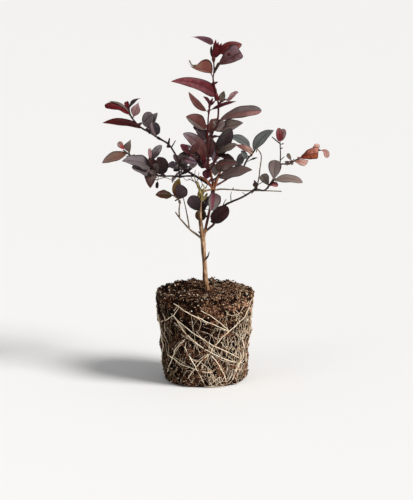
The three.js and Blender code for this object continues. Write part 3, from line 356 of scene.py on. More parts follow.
# The masses of leaves, by the names of their solids.
SPRAYS = {
    "tip_spray": spray("leader_bough", "red_bark", [
        (6, 0, 99.2), (5, 0, 103), (4, 0, 108), (4.5, 0, 112), (4.2, 0, 118.5),
    ], [
        leaf(0.03, (-22.8, -6, 7.9), 6.8, 24, 2.6, "crimson", "drop", 0.03),
        leaf(0.5, (-12.2, -4, 9.2), 5.2, 15, 0.4, "olive_red", "hooded", halves=(2.1, 0.5), hook=1.5),
        leaf(0.96, (-1.1, 0.4, 7.2), 1.4, 10, 0, "black_plum", "lance", bend=-0.5),
        leaf(1, (1.2, -0.5, 9.4), 2.0, 15, 0, "bud", "lance"),
        leaf(1, (2.5, 0.6, 7.9), 2.4, 25, 0, "bud", "lance"),
        leaf(1, (4.2, -0.4, 7.6), 2.0, 20, 0, "bud", "lance"),
        leaf(0.97, (4.7, 0.3, 5.6), 2.6, 35, 0.3, "bud", "lance"),
        leaf(0.97, (2.2, -1.2, 6.8), 3.4, 10, 0, "bud"),
        leaf(0.97, (0.6, -0.6, 5.2), 2.2, 15, 0, "bud"),
        leaf(0.98, (14, 0.4, 7.2), 4.8, 15, 2.6, "red_maroon", stalk=0.22, halves=(2.3, 0.8)),
        leaf(0.28, (-6, 8, 0.4), 4.6, 80, 0.8, "maroon"),
        leaf(0.34, (0.6, 6.5, 0.4), 3, 70, 0.4, "maroon"),
    ], twigs=[
        ([(4.2, 0, 118), (5.1, -0.5, 125.2)], [
            leaf(0.97, (-12.1, -2, 4.5), 3.8, 30, 1, "maroon_grey", "tailed"),
            leaf(0.9, (2.2, -0.6, 0.4), 0.9, 20, 0.3, "bud", "lance"),
        ]),
        ([(4.5, 0, 111.4), (5.7, -0.5, 113.8), (6.6, -1, 115.3)], [
            leaf(0.96, (11.2, -3, 6.9), 6.6, 12, -0.2, "maroon_mauve", "square", 0.02, halves=(0.9, 1.6)),
        ]),
    ]),
    "shoulder_spray": spray("leader_bough", "red_bark", [
        (6.6, 0.4, 95.2), (8.4, 0.3, 96.4), (10, 0.3, 97.5),
    ], [
        leaf(0.25, (2, 0.4, 5.9), 3.3, 25, 0, "olive_brown", "lance", 0.05),
        leaf(0.9, (6.8, -1, 3.8), 2.8, 40, -0.2, "pink_mauve", "oval", hook=0.8),
        leaf(0.6, (-1.4, 7.5, -0.8), 4, 80, 0.8, "plum"),
    ]),
    "right_crown_spray": spray("leader_bough", "red_bark", [
        (4.2, 0.6, 81.6), (5.6, -1.4, 84.3), (7, -2.4, 87.5),
    ], [
        leaf(0.12, (14.3, -3.4, 4.3), 6.2, 25, -0.2, "lit_brown", "lance", 0.03, halves=(0.9, 1.2)),
        leaf(0.06, (5.4, -3, 4.8), 6, 20, 0.2, "lit_brown", "oval", 0.03),
        leaf(0.97, (21, -4, 5.7), 6.5, 25, 1.6, ("salmon_edge", "grey_salmon"), "broad", 0.02),
        leaf(0.7, (-2.4, -1.6, 1.2), 2.4, 20, 0, "brown_grey"),
    ]),
    "second_shoot": spray("leader_bough", "red_bark", [
        (1.6, 0.2, 66.4), (1.2, -3, 76.5), (1.6, -4, 88.5), (2.3, -4, 95.4),
    ], [
        leaf(0.35, (-5.5, -2.4, 8.7), 5.4, 25, 0, "plum"),
        leaf(0.44, (-7.3, 1.6, 3.7), 3.6, 35, 0, "black_plum", "lance"),
        leaf(0.48, (-10.9, -4, 8.4), 6.6, 20, 0.4, ("red_brown", "brown_grey"), "lance", halves=(1.4, 0.7)),
        leaf(0.81, (-9.9, -2.6, 10.8), 3.7, 15, 0, "red_brown", "lance", bend=-1.3),
        leaf(0.84, (13.5, -2.4, 5.5), 2.4, 40, 0.6, "maroon", "lance"),
        leaf(0.97, (-3.3, -0.6, 5), 1.9, 30, 0.3, "maroon", "lance", bend=0.8),
        leaf(1, (1.6, 0.2, 3.6), 1.3, 30, 0, "maroon", "lance"),
        leaf(0.97, (3, 0.3, 3), 1.2, 30, 0, "maroon", "lance"),
        leaf(0.04, (1.4, -1.6, 11.5), 5.4, 15, 0, "brown_red"),
    ]),
    "front_left_spray": spray("leader_bough", "red_bark", [
        (1.4, 0.2, 62.4), (-2.5, -6, 66.6), (-7.5, -11, 72),
    ], [
        leaf(0.2, (-11, -8, 18.4), 6.4, 15, 0, "grey_red", "oval", bend=3.6),
        leaf(0.28, (-1.6, -5.4, 5.4), 4.4, 20, 0.6, ("bud", "black_plum")),
        leaf(0.06, (-4.8, -3.4, 5.4), 5.6, 22, 0.3, ("brown_red", "black_plum")),
        leaf(0.02, (-0.6, -3.4, -4.6), 4.4, 30, 0.4, "maroon"),
        leaf(0.5, (-8.5, -5, 2.6), 5.6, 35, 0.5, "glossy_mauve"),
        leaf(0.9, (-6.6, -3, 0.6), 3.8, 45, 0.5, "dark_green_grey"),
        leaf(0.98, (-5, -2.4, 5.4), 3.7, 30, 0, "maroon", halves=(1.2, 0.8)),
        leaf(0.97, (4.7, -1, 6.8), 3.6, 30, 0, "red_brown", "lance"),
        leaf(0.55, (1.2, -6, -1.4), 2.6, 75, 0.4, "black_plum"),
    ]),
    "front_right_spray": spray("leader_bough", "red_bark", [
        (2.4, 0.2, 61), (4.5, -5, 66.1), (5.5, -9, 70.6), (6.5, -12, 74.9),
    ], [
        leaf(0.2, (12.6, -9, 3.8), 7.4, 30, 0.9, "pink_rib", "lance", halves=(1.5, 0.7), band=0.14),
        leaf(0.52, (8, -2.6, 16.2), 7.4, 20, 0, ("plum", "dark_green_grey")),
        leaf(0.74, (8.8, -7.4, -1.2), 4.2, 50, 0.4, "black_plum", "lance"),
        leaf(0.8, (10, -4.6, 5.2), 4.6, 40, 0.4, "olive_grey"),
        leaf(0.98, (-2.4, -4.6, 4.4), 3.4, 35, 0, "black_plum"),
        leaf(1, (2.6, -5.4, 2), 3.6, 50, 0.4, "dark_green_grey"),
    ]),
    "low_front_spray": spray("leader_bough", "red_bark", [
        (3.8, -0.4, 56.4), (4.6, -2.6, 57.4), (5, -4.4, 58.2),
    ], [
        leaf(0.97, (18.3, -9.6, 6.7), 7.6, 40, 0.8, "mauve_rib", "lance"),
        leaf(0.7, (3, -3.6, 3), 2.8, 50, 0.4, "red_brown"),
        leaf(0.96, (-2.8, -6.4, -0.4), 2.4, 70, 0.6, "brown_red"),
    ]),
    "hanging_spray": spray("leader_bough", "red_bark", [
        (3.9, -0.9, 50.6), (4.3, -3.6, 51.4),
    ], [
        leaf(0.95, (-1.2, -11, -6.8), 8, 75, 1.2, "grey_band", "round", halves=(0.5, 1.1), band=0.26),
        leaf(0.9, (-5.5, -9, -2.1), 4.4, 15, -4.4, "grey", "tailed"),
    ]),
    "upper_left_spray": spray("left_bough", "dark_bark", [
        (-23.9, 11.2, 76.2), (-26.5, 12.5, 77.6), (-29, 13.5, 78.9), (-32.5, 14.5, 81), (-36.5, 16, 85.1),
        (-38.5, 17, 89.9),
    ], [
        leaf(0.02, (-2.2, -3, 8.3), 5.2, 18, 0, ("dark_mauve", "pale_strip"), "round", halves=(1.15, 0.75)),
        leaf(0.4, (0.9, 1.6, 9.6), 6.2, 10, 0, "mauve_grey", "round", 0.2),
        leaf(0.42, (5.6, 1.2, 9), 5, 15, 0, "mauve_grey", "drop", 0.14, halves=(0.7, 1.3)),
        leaf(0.42, (-22, -1.6, 4.1), 4.6, 45, 2.3, "dark_maroon", "lance"),
        leaf(0.78, (3, 2, 8.5), 4.8, 20, 0, "pink_mauve", "kite"),
        leaf(0.84, (-12.9, -3, 5.4), 4.8, 40, 2.2, "bright_crimson", "strap"),
        leaf(0.86, (-11, -1.5, 7.2), 1.6, 40, 2, "olive_brown", "lance"),
        leaf(0.95, (6.3, 0.8, 6.2), 2.1, 30, 0, "dark_green_grey", "kite", bend=-1.8),
        leaf(0.97, (-1.9, 0, 3.9), 1.7, 30, 0, "bud", "strap"),
        leaf(0.97, (-0.8, 0.8, 4.2), 1.7, 30, 0, "bud", "strap"),
        leaf(0.24, (-0.5, 9, 0.5), 5, 80, 0.8, "plum"),
        leaf(0.6, (-2.4, 8, -0.6), 4.6, 80, 0.8, "grey_red"),
    ]),
    "low_left_spray": spray("left_middle_bough", "dark_bark", [
        (-20.5, -7.2, 60.1), (-24.2, -8.1, 60.9), (-26.3, -9, 62.9), (-27.5, -10, 66.7), (-27, -10.5, 69.4),
    ], [
        leaf(0.01, (-2.8, -4.6, 10.6), 5.2, 20, 0.4, "black_plum", halves=(1.5, 0.8)),
        leaf(0.04, (-6.8, -3.6, 9.8), 4.4, 15, 0.2, "dark_wine", halves=(1.1, 0.9)),
        leaf(0.6, (-0.2, -4.4, -8.8), 6.4, 22, 0.4, "warm_brown", "drop", 0.03),
        leaf(0.3, (-11.4, -6, 4.7), 7.4, 38, 0.6, "slate_mauve", stalk=0.0),
        leaf(0.45, (2.6, -3, 4.6), 5.4, 22, 0, "brown_grey", "round", 0.02),
        leaf(0.66, (-13.8, -5.4, 4), 7.2, 38, 1.4, "slate_mauve", "drop", 0.0, halves=(1.15, 1.1)),
        leaf(0.98, (-0.4, 1.4, 5.4), 1.9, 30, 0, "pink_mauve", "strap"),
        leaf(0.9, (5.8, 2.2, 7.7), 4.3, 20, 0.3, "pale_tip"),
        leaf(0.16, (-0.9, -1, -6.2), 1.7, 70, 0.2, "black_plum", "strap", 0.5),
        leaf(0.2, (-3.4, -6, 2.4), 4.2, 75, 0.6, "brown_grey"),
    ]),
    "left_end_spray": spray("left_middle_bough", "dark_bark", [
        (-20.4, -5.9, 60.6), (-26, -5.4, 64.5), (-32.5, -6.4, 68.2), (-36, -7.6, 70), (-40, -8.6, 73.2),
    ], [
        leaf(0.9, (-12.6, -3.8, -4), 5.4, 25, 0.5, "brown_pink", "lance", 0.04, halves=(1.1, 0.9)),
        leaf(0.98, (-3.2, -1, 4.6), 3.2, 30, 0.2, "red_curl", "blunt", 0.2, curl=0.8),
        leaf(0.84, (0.6, 1.3, 8), 4.4, 25, 0, "brown_grey", "kite", halves=(0.2, 1.5)),
        leaf(0.42, (-5, 8, -1.4), 5, 80, 0.8, "brown_pink"),
        leaf(0.7, (-3, 9, -1.6), 4.6, 80, 0.8, "grey_red"),
        leaf(0.3, (3, 8.6, -2), 4.4, 80, 0.6, "mauve_grey"),
    ]),
    "left_fork_spray": spray("left_middle_bough", "dark_bark", [
        (-12.5, -3.5, 59.4), (-13, -2.9, 62), (-13, -2.4, 64.9),
    ], [
        leaf(0.05, (6.3, -3, 4.2), 2.5, 40, 0.3, "black_plum", "lance"),
        leaf(0.55, (-2.8, -1.4, 0.2), 1.9, 40, 0, "black_plum"),
        leaf(1, (-5.3, -3.6, -0.7), 3.8, 45, 1.2, "dark_mauve"),
        leaf(0.95, (4.6, -2, -0.6), 2.6, 50, 0.4, "dark_green_grey"),
    ]),
    "low_left_leaves": spray("low_left_twig", "dead_bark", [
        (-12.5, -5.1, 46.6), (-13.6, -6, 48.4), (-15.5, -7, 50.2),
    ], [
        leaf(0.3, (0.5, 0.6, 11.1), 4.6, 20, 0, "olive", "lance", bend=-1.2),
        leaf(0.2, (-0.9, -4.2, 8.9), 6.4, 20, 0, "plum", "round", halves=(1.5, 0.4)),
        leaf(0.98, (-9.2, -4, 1.2), 5.2, 35, 0.4, "olive_rust", "lance"),
    ]),
    "trunk_left_leaf": spray("trunk", "dead_bark", [
        (-2.7, -0.4, 40.8), (-2.6, -2.4, 41.5),
    ], [
        leaf(0.9, (-4.8, -2.8, 8.1), 6.6, 15, 0, "plum", "broad", 0.04),
    ]),
    "low_right_leaf": spray("right_low_bough", "dark_bark", [
        (4.5, -1.6, 35), (3, -4.2, 36.6),
    ], [
        leaf(0.9, (8.5, -2.8, 7.5), 7.6, 12, 0, "dark_wine", "round", 0.03),
    ]),
    "upper_right_spray": spray("upper_right_bough", "dark_bark", [
        (19.3, 10.2, 61.2), (20.7, 11, 64.2), (22.5, 12, 66.4), (25, 13, 69.3),
    ], [
        leaf(0.42, (-3.2, -2.4, 5), 3, 15, 0, "grey_green", "lance", halves=(1.2, 0.8)),
        leaf(0.25, (6.1, -2.6, 2.9), 1.7, 65, 0.3, "black_plum", "lance", 0.3),
        leaf(0.8, (-11.5, 2.6, 8.1), 4.8, 35, 2.8, "grey_green", "oval", 0.2),
        leaf(0.85, (-8.8, -4.4, 5.3), 4.4, 42, 0.3, "pink_brown", "drop", 0.0, hook=0.4),
        leaf(0.9, (10.3, 3, 10.4), 5.5, 25, 0, "grey_green", "lance", 0.05, bend=-2),
        leaf(0.55, (0.4, 7, -1), 4, 80, 0.8, "grey"),
    ]),
    "mid_right_spray": spray("right_low_bough", "dark_bark", [
        (31.3, -8.7, 54.8), (32.5, -9.4, 56.8), (34, -10, 58.6),
    ], [
        leaf(0.15, (-3.8, -2.6, 6.3), 4.6, 15, 0.2, "dark_olive", "blunt", 0.06, halves=(1.15, 0.85)),
        leaf(0.3, (3.6, -3.4, 0.5), 3.8, 45, 0.6, "pink_curl", "round", curl=0.9),
        leaf(1, (0.9, -1.4, 10.5), 6.6, 15, 0, "pale_stone", "blunt", 0.05),
        leaf(0.95, (14.4, -4.6, 0.3), 5.4, 45, 1.3, "olive_mauve", stalk=0.04),
    ]),
    "far_right_spray": spray("right_low_bough", "dark_bark", [
        (31.2, -7.6, 54.6), (34.5, -6, 59.4), (37, -4.4, 65.2), (41.5, -3, 65.4), (44, -1.5, 66.4),
        (49, 0, 68.6), (57, 1.5, 71.6),
    ], [
        leaf(0.64, (-2.6, -1.4, 4.5), 2.3, 30, 0, "olive_brown", "blunt", 0.2),
        leaf(0.68, (6.3, -3.8, -0.7), 4.4, 40, 0.3, "salmon", "square", 0.03),
        leaf(0.78, (9, -3.8, 3.7), 6.4, 25, 0.4, ("rust", "rust_top"), "square", 0.03),
        leaf(0.95, (2, 2.2, 3.9), 3.2, 40, 0.3, "salmon", "round", curl=0.6),
        leaf(1, (3.5, -1.4, -3.6), 3, 20, 0.9, "pink", "blunt", bend=-0.8),
        leaf(0.45, (3, 9, -2), 4, 80, 0.8, "mauve_grey"),
        leaf(0.6, (-2, 8.6, -1.8), 3.8, 80, 0.8, "brown_pink"),
        leaf(0.75, (3.6, 7.6, -1), 3.6, 80, 0.6, "salmon"),
    ], twigs=[
        ([(37.3, -4.4, 65.3), (37.5, -4.6, 71), (37.2, -4.5, 76.8)], [
            leaf(0.97, (-0.6, -1.8, 8), 3.4, 25, 0, "rosy", "round"),
            leaf(1, (2.2, 1.4, 6.4), 3.8, 30, 0.2, "pink_grey", "round"),
            leaf(0.9, (2.1, -0.4, 0.6), 0.8, 40, 0, "red_brown", "lance"),
            leaf(0.72, (1.4, -0.4, 0.5), 0.8, 40, 0, "red_brown", "lance"),
            leaf(0.2, (2.2, -0.4, 2.2), 0.6, 40, 0, "grey", "lance"),
        ]),
        ([(37.1, -4.5, 76.2), (35.4, -4.6, 77.6), (33.4, -4.8, 79.4)], []),
    ]),
    "back_left_spray": spray("back_bough", "red_bark", [
        (0.6, 15.4, 61.4), (-2.6, 21, 63.4), (-4.4, 27, 66),
    ], grown=(21, 5, (8, 13), (-12, 12, 48), (6, 40, 76)),
        tints=["plum", "grey_red", "brown_grey", "black_plum"]),
    "back_right_spray": spray("back_bough", "red_bark", [
        (1.4, 15.4, 60.9), (4.6, 21, 61.6), (7.4, 28, 63.4),
    ], grown=(34, 5, (8, 13), (0, 12, 48), (12, 41, 74)),
        tints=["mauve_grey", "grey", "brown_grey", "glossy_mauve"]),
    "high_back_spray": spray("leader_bough", "red_bark", [
        (2.6, 1.2, 76.4), (2.6, 8, 78), (2.2, 15, 80.4),
    ], grown=(5, 4, (7, 11), (-8, 3, 68), (14, 26, 90)), tints=["red_brown", "maroon", "grey_red"]),
    "low_back_spray": spray("trunk", "dead_bark", [
        (-2.3, 0.6, 35.6), (-2.4, 6, 37.6), (-2.6, 12, 40.6),
    ], [
        leaf(0, (0.3, 3, 5.3), 5.6, 20, 0, ("bark_black", "olive"), "round", 0.03),
    ], grown=(11, 4, (7, 10), (-5, 2, 33), (9, 24, 49)),
        tints=["black_plum", "dark_green_grey", "olive"]),
    "right_back_spray": spray("upper_right_bough", "red_bark", [
        (13.2, 5.9, 58), (15, 12, 59.4), (16, 19, 61.6),
    ], grown=(8, 4, (7, 11), (12.6, 9, 55), (22, 31, 74)), tints=["grey", "brown_pink", "pale_stone"]),
    "left_back_spray": spray("left_bough", "dark_bark", [
        (-9.1, 4, 60.6), (-11, 11, 60), (-12.5, 18, 61.5),
    ], grown=(13, 4, (7, 11), (-20, 6, 50), (-5, 30, 69)),
        tints=["mauve_grey", "glossy_mauve", "grey_red"]),
}

# Fine bare twigs: look, radii at both ends and route. First stubs and thorns, then the tangle at the fork.
FINE_TWIGS = [
    ("dark_bark", (0.5, 0.3), [(-12.2, -3.2, 48.6), (-13.6, -3.3, 47.6), (-14.8, -3.3, 46.9)]),
    ("dark_bark", (0.5, 0.5), [(-12.6, -3.2, 47.2), (-12.9, -3.3, 46.2)]),
    ("crimson_bark", (1.0, 1.2), [(5.9, 0, 97), (5.7, -0.1, 98.4), (5.2, 0, 99.8)]),
    ("dark_bark", (0.24, 0.14), [(13, -4, 46.4), (12.8, -4.2, 49.6), (13.2, -4.3, 51.6)]),
    ("dark_bark", (0.26, 0.14), [(8.9, -2.9, 44.2), (9.6, -3.1, 46), (10.5, -3.2, 47.6)]),
    ("dark_bark", (0.22, 0.12), [(20.2, -5.9, 50.4), (19.4, -6, 51), (18.5, -6.1, 51.8)]),
    ("dark_bark", (0.34, 0.24), [(24.4, -6.8, 53), (23.9, -6.9, 52.2), (23.2, -7, 51.4)]),
    ("dark_bark", (0.26, 0.16), [(25.6, -7.2, 54.4), (26.6, -7.5, 56), (28.6, -7.8, 57.3)]),
    ("dark_bark", (0.3, 0.2), [(13.6, -2, 52.2), (13.9, -2.1, 52.7), (14.2, -2.2, 53.2)]),
    ("dark_bark", (0.36, 0.22), [(-17, 8, 71.4), (-16, 7.8, 73), (-14.8, 7.4, 75.2)]),
    ("dark_bark", (0.9, 0.35), [(-18.4, 8.3, 71.6), (-18.2, 8.3, 73.6), (-17.8, 8.3, 76)]),
    ("dark_bark", (0.6, 1.3), [(25.5, -7.3, 53.8), (25.2, -7.3, 54.9), (25, -7.3, 55.8)]),
    ("dark_bark", (1.3, 0.3), [(25, -7.3, 55.8), (24.9, -7.3, 56.8), (24.5, -7.4, 58)]),
    ("dark_bark", (0.62, 0.8), [(4.4, 0, 111), (5.6, -0.5, 113.4), (6.8, -1, 115.6)]),
    ("dead_bark", (0.42, 0.26), [(-4.1, -3.4, 115.3), (-6.4, -3.6, 115.5), (-7.7, -3.8, 117.8)]),
    ("dead_bark", (0.24, 0.14), [
        (-25.5, -8, 58.1), (-22.5, -7.8, 58.9), (-19.5, -7, 59.3), (-15, -6, 57.2),
    ]),
    ("rust_bark", (0.75, 0.5), [(3.6, -0.8, 53), (2, -1.2, 55.2), (0.4, -0.8, 57), (-2.4, 0.4, 58.2)]),
    ("rust_bark", (1.0, 0.6), [(4.2, -0.9, 52.4), (5.2, -1.3, 55.4), (6.4, -1.7, 58.6), (7.6, -2.2, 61)]),
    ("rust_bark", (0.5, 0.34), [(4.4, -1.2, 55), (3.4, -1.4, 58.6), (3, -1.2, 61.6)]),
    ("pale_bark", (0.55, 0.4), [(-1, -0.8, 51), (2.5, -1.2, 52), (6, -0.9, 51.8)]),
    ("pale_bark", (0.95, 0.5), [(-0.75, -0.25, 27.4), (0.15, -0.45, 31.6), (0.95, -0.65, 34.8)]),
    ("pale_bark", (0.7, 0.4), [(0.1, -0.5, 30.4), (2.2, -1, 32.5), (3.6, -1.3, 34)]),
    ("stub_bark", (0.9, 0.5), [(-2.2, -0.8, 46), (-2, -1, 49.5), (-2.8, -1.1, 52.6), (-3.6, -1.2, 55.6)]),
    ("stub_bark", (0.5, 0.3), [(-1.6, -0.8, 50.4), (-0.2, -1, 52.4), (-1, -1, 54.6)]),
    ("stub_bark", (0.8, 0.5), [(-1.4, -0.6, 46.8), (0, -1, 48.2), (0.9, -0.8, 49.8)]),
    ("stub_bark", (0.6, 0.3), [(-2.6, -0.8, 47.4), (-3.4, -1, 49), (-3.2, -0.8, 50.8)]),
    ("stub_bark", (0.5, 0.26), [(-1.6, -0.6, 50.6), (-0.8, -0.8, 52.2), (0.6, -0.7, 53)]),
    ("dark_bark", (0.3, 0.2), [(-2.6, -0.4, 50.6), (-3.6, -0.6, 53.6), (-5, -0.9, 55.8), (-8, -1.4, 57.6)]),
    ("dead_bark", (0.26, 0.16), [(-3.4, -0.8, 52.6), (-4.6, -1.2, 56), (-5.2, -1.4, 59), (-4.8, -1.6, 62)]),
    ("dark_bark", (0.24, 0.14), [(-4.4, -0.8, 55.4), (-3.4, -1, 58), (-3, -1.2, 61)]),
    ("dead_bark", (0.22, 0.14), [(-5.6, -1.2, 56.4), (-7, -1.6, 58.8), (-6.4, -1.8, 61.2)]),
    ("dark_bark", (0.24, 0.16), [(-1, -0.8, 51.2), (0.4, -1, 53.2), (1.6, -0.9, 55.2)]),
    ("dead_bark", (0.2, 0.12), [(-7.6, -1.4, 57.4), (-9.4, -1.8, 57), (-10.8, -2.4, 58.6)]),
    ("dark_bark", (0.2, 0.12), [(-2.2, -0.8, 52), (-1.4, -1, 55), (-2.6, -1.2, 57.4)]),
]

# Main roots on the front of the ball: (start, middle, end), each (degrees right of the front, height).
FRONT_ROOTS = [
    [(-39, 43), (-6, 36.4), (31, 28.9)], [(-5, 40.4), (13, 35.8), (30, 29.6)],
    [(31, 28.9), (56, 35.5), (73, 42.6)], [(31, 28.9), (18, 24.8), (8, 19.2)],
    [(-42, 36.4), (0, 24.9), (51, 13.7)], [(-36, 33.9), (-5, 21.8), (44, 12.1)],
    [(-70, 31), (-44, 36), (-32, 41.8)], [(-26, 25), (-46, 16.1), (-60, 6)],
    [(-27, 21.2), (-15, 12.8), (-2, 3)], [(-58, 15), (-24, 10.8), (10, 8)],
    [(5, 17.6), (-10, 11.8), (-24, 4.5)], [(9, 16.6), (22, 9.8), (30, 2.6)], [(56, 24), (60, 17), (48, 7)],
    [(74, 38), (78, 25), (70, 12)], [(-84, 38), (-74, 24), (-82, 9)],
]

# Finer roots that show on the front, in the same measures.
FINE_ROOTS = [
    [(-32, 27.3), (-6, 21.9), (19, 14.9)], [(19, 14.9), (33, 12.8), (47, 12.2)],
    [(-11, 30), (6, 21.3), (22, 16.4)], [(-1, 26), (5, 22.4), (13, 19.2)],
    [(-40, 33), (-29, 29.4), (-19, 25.2)], [(-47, 37.2), (-36, 34.2), (-27, 30.5)],
    [(-40, 39.2), (-36, 40.9), (-32, 42.6)], [(-48, 14), (-40, 12), (-33, 10.3)],
    [(-47, 14.7), (-29, 12.5), (-17, 10)], [(4, 17.7), (-5, 15.7), (-13, 12.5)],
    [(5, 16.7), (-1, 12.6), (-6, 9)], [(38, 28.5), (47, 26), (57, 22.7)],
    [(47, 28.5), (57, 24.8), (71, 26.6)], [(62, 25.4), (47, 22.4), (35, 18.4)],
    [(52, 20.5), (43, 17.5), (33, 14.9)], [(38, 39.8), (45, 34.8), (36, 30)],
    [(65, 42), (50, 39.5), (40, 35)], [(-8, 36.7), (-5, 33), (-11, 28.4)],
    [(-68, 27.9), (-57, 22.7), (-55, 15.6)], [(-76, 23.7), (-62, 18.7), (-59, 11.8)],
    [(-19, 39), (-8, 36.2), (4, 33.6)], [(-27, 24), (-35, 20.4), (-43, 16.4)],
    [(9, 19.3), (4, 15.2), (9, 10.6)], [(-25, 26.6), (-15, 24.3), (-5, 20.8)],
    [(13, 31), (22, 30.2), (32, 28.8)], [(25, 40), (34, 37), (45, 38)], [(66, 34), (60, 30), (64, 22)],
    [(-20, 17), (-12, 14), (-3, 14.6)], [(20, 24), (30, 20), (36, 22)], [(-64, 36), (-58, 30), (-62, 24)],
]
BACK_ROOTS = 8
BACK_ROOT_SEED = 7
ROOT_SEED = 5
MAIN_ROOT_RADIUS = (0.18, 0.25)
SCATTERED_ROOTS = 110
WEB_ROOTS = 190
# Painted shade: fine roots that start further left than this take the darker root look.
ROOT_SHADE_SIDE = -30

# More fine roots down the edges of the ball: from and to in degrees, and how many.
EDGE_ROOTS = [(24, 74, 26), (-78, -50, 8), (-50, 24, 12)]

# Kinds of fine root: radius from and to, the tip's share, places on the way, wander, lift, sides, step.
ROOT_KINDS = {
    "placed": ((0.1, 0.15), 0.6, 9, 0.12, 0.42, 6, 0.6),
    "edge": ((0.08, 0.13), 0.6, 9, 0.2, 0.24, 6, 0.6),
    "scattered": ((0.08, 0.15), 0.55, 9, 0.4, 0.24, 6, 0.7),
    "web": ((0.05, 0.09), 0.6, 7, 0.3, 0.3, 5, 0.9),
}


# Noise

def lattice(cell, seed):
    """A repeatable number from 0 to 1 for each whole-number cell."""
    word, low_bits = 0xFFFFFFFF, 0xFFFFFF
    mixed = seed * 2654435761
    for axis, prime in enumerate((73856093, 19349663, 83492791)):
        mixed = mixed ^ cell[..., axis] * prime
    mixed = mixed & word
    mixed = ((mixed ^ (mixed >> 13)) * 1274126177) & word
    return ((mixed ^ (mixed >> 16)) & low_bits) / low_bits


def smooth_noise(places, size, seed=0):
    """Smooth noise from -1 to 1 whose bumps are about size wide."""
    scaled = places / size
    low = np.floor(scaled).astype(np.int64)
    share = scaled - low
    share = share * share * (3 - 2 * share)
    total = 0.0
    for corner in itertools.product((0, 1), repeat=3):
        weight = 1.0
        for axis in range(3):
            weight = weight * (share[..., axis] if corner[axis] else 1 - share[..., axis])
        total = total + weight * lattice(low + np.array(corner), seed)
    return total * 2 - 1


def rough_noise(places, size, octaves, seed=0):
    """Noise of several sizes, each half as wide and half as strong as the last."""
    return sum(smooth_noise(places, size / 2 ** k, seed + k) / 2 ** k for k in range(octaves))


def grain_noise(places, size, seed=0):
    """Distance, in cells, to the nearest of one random point per cell: low on a grain and high between."""
    scaled = places / size
    low = np.floor(scaled).astype(np.int64)
    nearest = np.full(scaled.shape[:-1], np.inf)
    for step in itertools.product((-1, 0, 1), repeat=3):
        cell = low + np.array(step)
        point = cell + np.stack([lattice(cell, seed + axis) for axis in (11, 12, 13)], axis=-1)
        nearest = np.minimum(nearest, np.linalg.norm(scaled - point, axis=-1))
    return nearest


def draws_from(seed):
    """The source's small generator of numbers from 0 to 1."""
    state = seed

    def draw():
        nonlocal state
        state = (state * 1664525 + 1013904223) % 2 ** 32
        return state / 2 ** 32

    return draw


# Vectors and curves

def unit(v):
    return v / np.linalg.norm(v)


def square_to(direction, axis):
    """The part of a direction that is square to an axis, one long."""
    return unit(direction - np.dot(direction, axis) * axis)


def round_points(reach, turn, height):
    """Points at a reach and a turn round the ball's axis."""
    return np.stack([reach * np.cos(turn), reach * np.sin(turn), height], axis=-1)


def on_plant(places):
    """A place, or a list of them, measured from the ball's underside instead of the soil's surface."""
    return np.array(places, float)[..., :3] + UP * SOIL_TOP


def curve_point(places, t):
    """A point on the smooth curve through the places, by the same rule as the source's curves."""
    last = len(places) - 1
    run = min(int(math.floor(last * t)), last - 1)
    share = last * t - run
    p1, p2 = places[run], places[run + 1]
    p0 = places[run - 1] if run > 0 else 2 * p1 - p2
    p3 = places[run + 2] if run + 2 <= last else 2 * p2 - p1
    t0, t1 = (p2 - p0) / 2, (p3 - p1) / 2
    return (p1 + t0 * share + (3 * (p2 - p1) - 2 * t0 - t1) * share ** 2
            + (2 * (p1 - p2) + t0 + t1) * share ** 3)


def curve_run(places, t):
    """The way along the curve at t."""
    step = 1e-4
    return unit(curve_point(places, min(t + step, 1)) - curve_point(places, max(t - step, 0)))


def curve_points(places, step):
    """Points about a step apart along the curve through the places, and their shares of its whole."""
    samples = np.array([curve_point(places, i / 60) for i in range(61)])
    length = float(np.linalg.norm(np.diff(samples, axis=0), axis=1).sum())
    t = np.linspace(0, 1, max(4, int(length / step)) + 1)
    return np.array([curve_point(places, x) for x in t]), t


def frames_along(points):
    """Two directions square to the run at each point, turning as little as they can."""
    across = np.array((0.0, 1.0, 0.0))
    frames = []
    for run in np.gradient(points, axis=0):
        run = unit(run)
        across = square_to(across, run)
        frames.append((across, np.cross(run, across)))
    return frames


# Meshes

